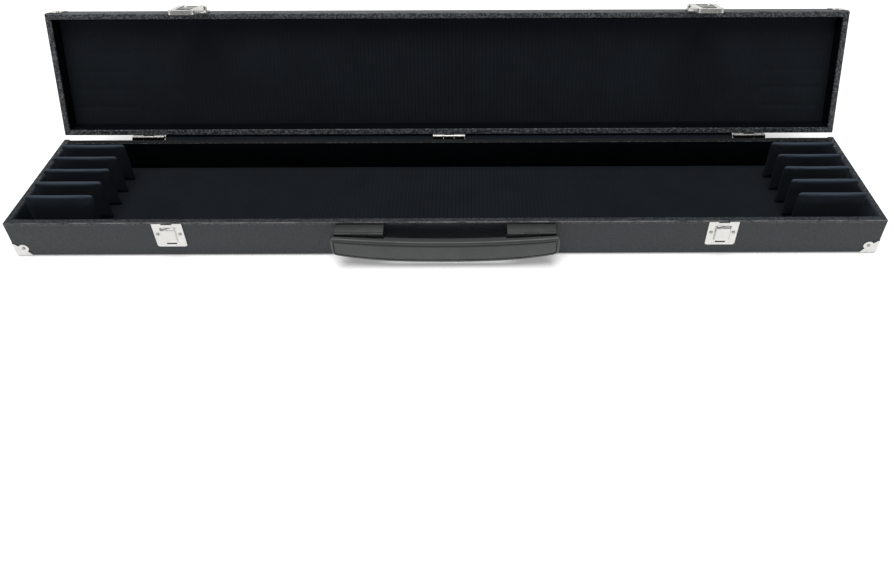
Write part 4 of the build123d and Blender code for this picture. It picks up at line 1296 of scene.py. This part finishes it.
def set_camera(settings):
    """The camera, at the angle of the open case's picture."""
    scene = bpy.context.scene
    camera = bpy.data.cameras.new("Camera")
    camera.sensor_width = 36.0
    camera.lens = settings.lens
    camera.clip_start = 0.01
    width, height = settings.picture_size
    camera.shift_x = (width / 2 - settings.picture_centre[0]) / width
    camera.shift_y = (settings.picture_centre[1] - height / 2) / width
    eye = bpy.data.objects.new("Camera", camera)
    eye.location = settings.camera_place
    eye.rotation_euler = settings.camera_turn
    scene.collection.objects.link(eye)
    scene.camera = eye


def make_stage():
    settings = bpy.context.scene.bow_case_stage
    lay_floor(settings)
    light_studio(settings)
    set_camera(settings)
    bpy.context.scene.view_settings.view_transform = "Standard"


# Operators
class BOWCASE_OT_make_stage(bpy.types.Operator):
    """Makes the pale floor, the soft studio light and the camera"""
    bl_idname = "bow_case.make_stage"
    bl_label = "Studio"

    def execute(self, context):
        make_stage()
        return {"FINISHED"}


class BOWCASE_OT_make_covers(bpy.types.Operator):
    """Covers the base and the lid with grained cloth, turned over the rims"""
    bl_idname = "bow_case.make_covers"
    bl_label = "Covers"

    def execute(self, context):
        make_covers()
        return {"FINISHED"}


class BOWCASE_OT_make_linings(bpy.types.Operator):
    """Lines the walls, the floor and the lid with ribbed plush"""
    bl_idname = "bow_case.make_linings"
    bl_label = "Linings"

    def execute(self, context):
        make_linings()
        return {"FINISHED"}


class BOWCASE_OT_make_holders(bpy.types.Operator):
    """Makes the ten padded bow holders"""
    bl_idname = "bow_case.make_holders"
    bl_label = "Bow holders"

    def execute(self, context):
        make_holders()
        return {"FINISHED"}


class BOWCASE_OT_make_seam_strips(bpy.types.Operator):
    """Makes the strips of cloth that close the gap behind the hinges"""
    bl_idname = "bow_case.make_seam_strips"
    bl_label = "Seam strips"

    def execute(self, context):
        make_seam_strips()
        return {"FINISHED"}


class BOWCASE_OT_make_latches(bpy.types.Operator):
    """Makes the plates, levers, claws and catches of both draw latches"""
    bl_idname = "bow_case.make_latches"
    bl_label = "Latches"

    def execute(self, context):
        make_latches()
        return {"FINISHED"}


class BOWCASE_OT_make_handle(bpy.types.Operator):
    """Makes the padded grip and its two tabs"""
    bl_idname = "bow_case.make_handle"
    bl_label = "Handle"

    def execute(self, context):
        make_handle()
        return {"FINISHED"}


class BOWCASE_OT_finish_hardware(bpy.types.Operator):
    """Plates the hinges, corners, pins and nails"""
    bl_idname = "bow_case.finish_hardware"
    bl_label = "Hardware finish"

    def execute(self, context):
        finish_hardware()
        return {"FINISHED"}


operators = [BOWCASE_OT_make_stage, BOWCASE_OT_make_covers, BOWCASE_OT_make_linings, BOWCASE_OT_make_holders,
             BOWCASE_OT_make_seam_strips, BOWCASE_OT_make_latches, BOWCASE_OT_make_handle,
             BOWCASE_OT_finish_hardware]

settings_groups = {
    "bow_case_leathercloth": LeatherclothSettings,
    "bow_case_plush": PlushSettings,
    "bow_case_holders": HolderSettings,
    "bow_case_metal": MetalSettings,
    "bow_case_handle": HandleSettings,
    "bow_case_stage": StageSettings,
}


class BOWCASE_PT_panel(bpy.types.Panel):
    """Lists the settings and the pieces of the bow case"""
    bl_idname = "BOWCASE_PT_panel"
    bl_label = "Bow Case"
    bl_space_type = "VIEW_3D"
    bl_region_type = "UI"
    bl_category = "Bow Case"

    def draw(self, context):
        layout = self.layout
        for name, group in settings_groups.items():
            box = layout.box()
            box.label(text=name.removeprefix("bow_case_").capitalize())
            for field in group.__annotations__:
                box.prop(getattr(context.scene, name), field)
        for operator in operators:
            layout.operator(operator.bl_idname)


def register():
    for item in [*settings_groups.values(), *operators, BOWCASE_PT_panel]:
        bpy.utils.register_class(item)
    for name, group in settings_groups.items():
        setattr(bpy.types.Scene, name, PointerProperty(type=group))


def unregister():
    for name in settings_groups:
        delattr(bpy.types.Scene, name)
    for item in reversed([*settings_groups.values(), *operators, BOWCASE_PT_panel]):
        bpy.utils.unregister_class(item)


def main():
    register()
    bpy.ops.bow_case.make_stage()
    bpy.ops.bow_case.make_covers()
    bpy.ops.bow_case.make_linings()
    bpy.ops.bow_case.make_holders()
    bpy.ops.bow_case.make_seam_strips()
    bpy.ops.bow_case.make_latches()
    bpy.ops.bow_case.make_handle()
    bpy.ops.bow_case.finish_hardware()


if __name__ == "__main__":
    main()
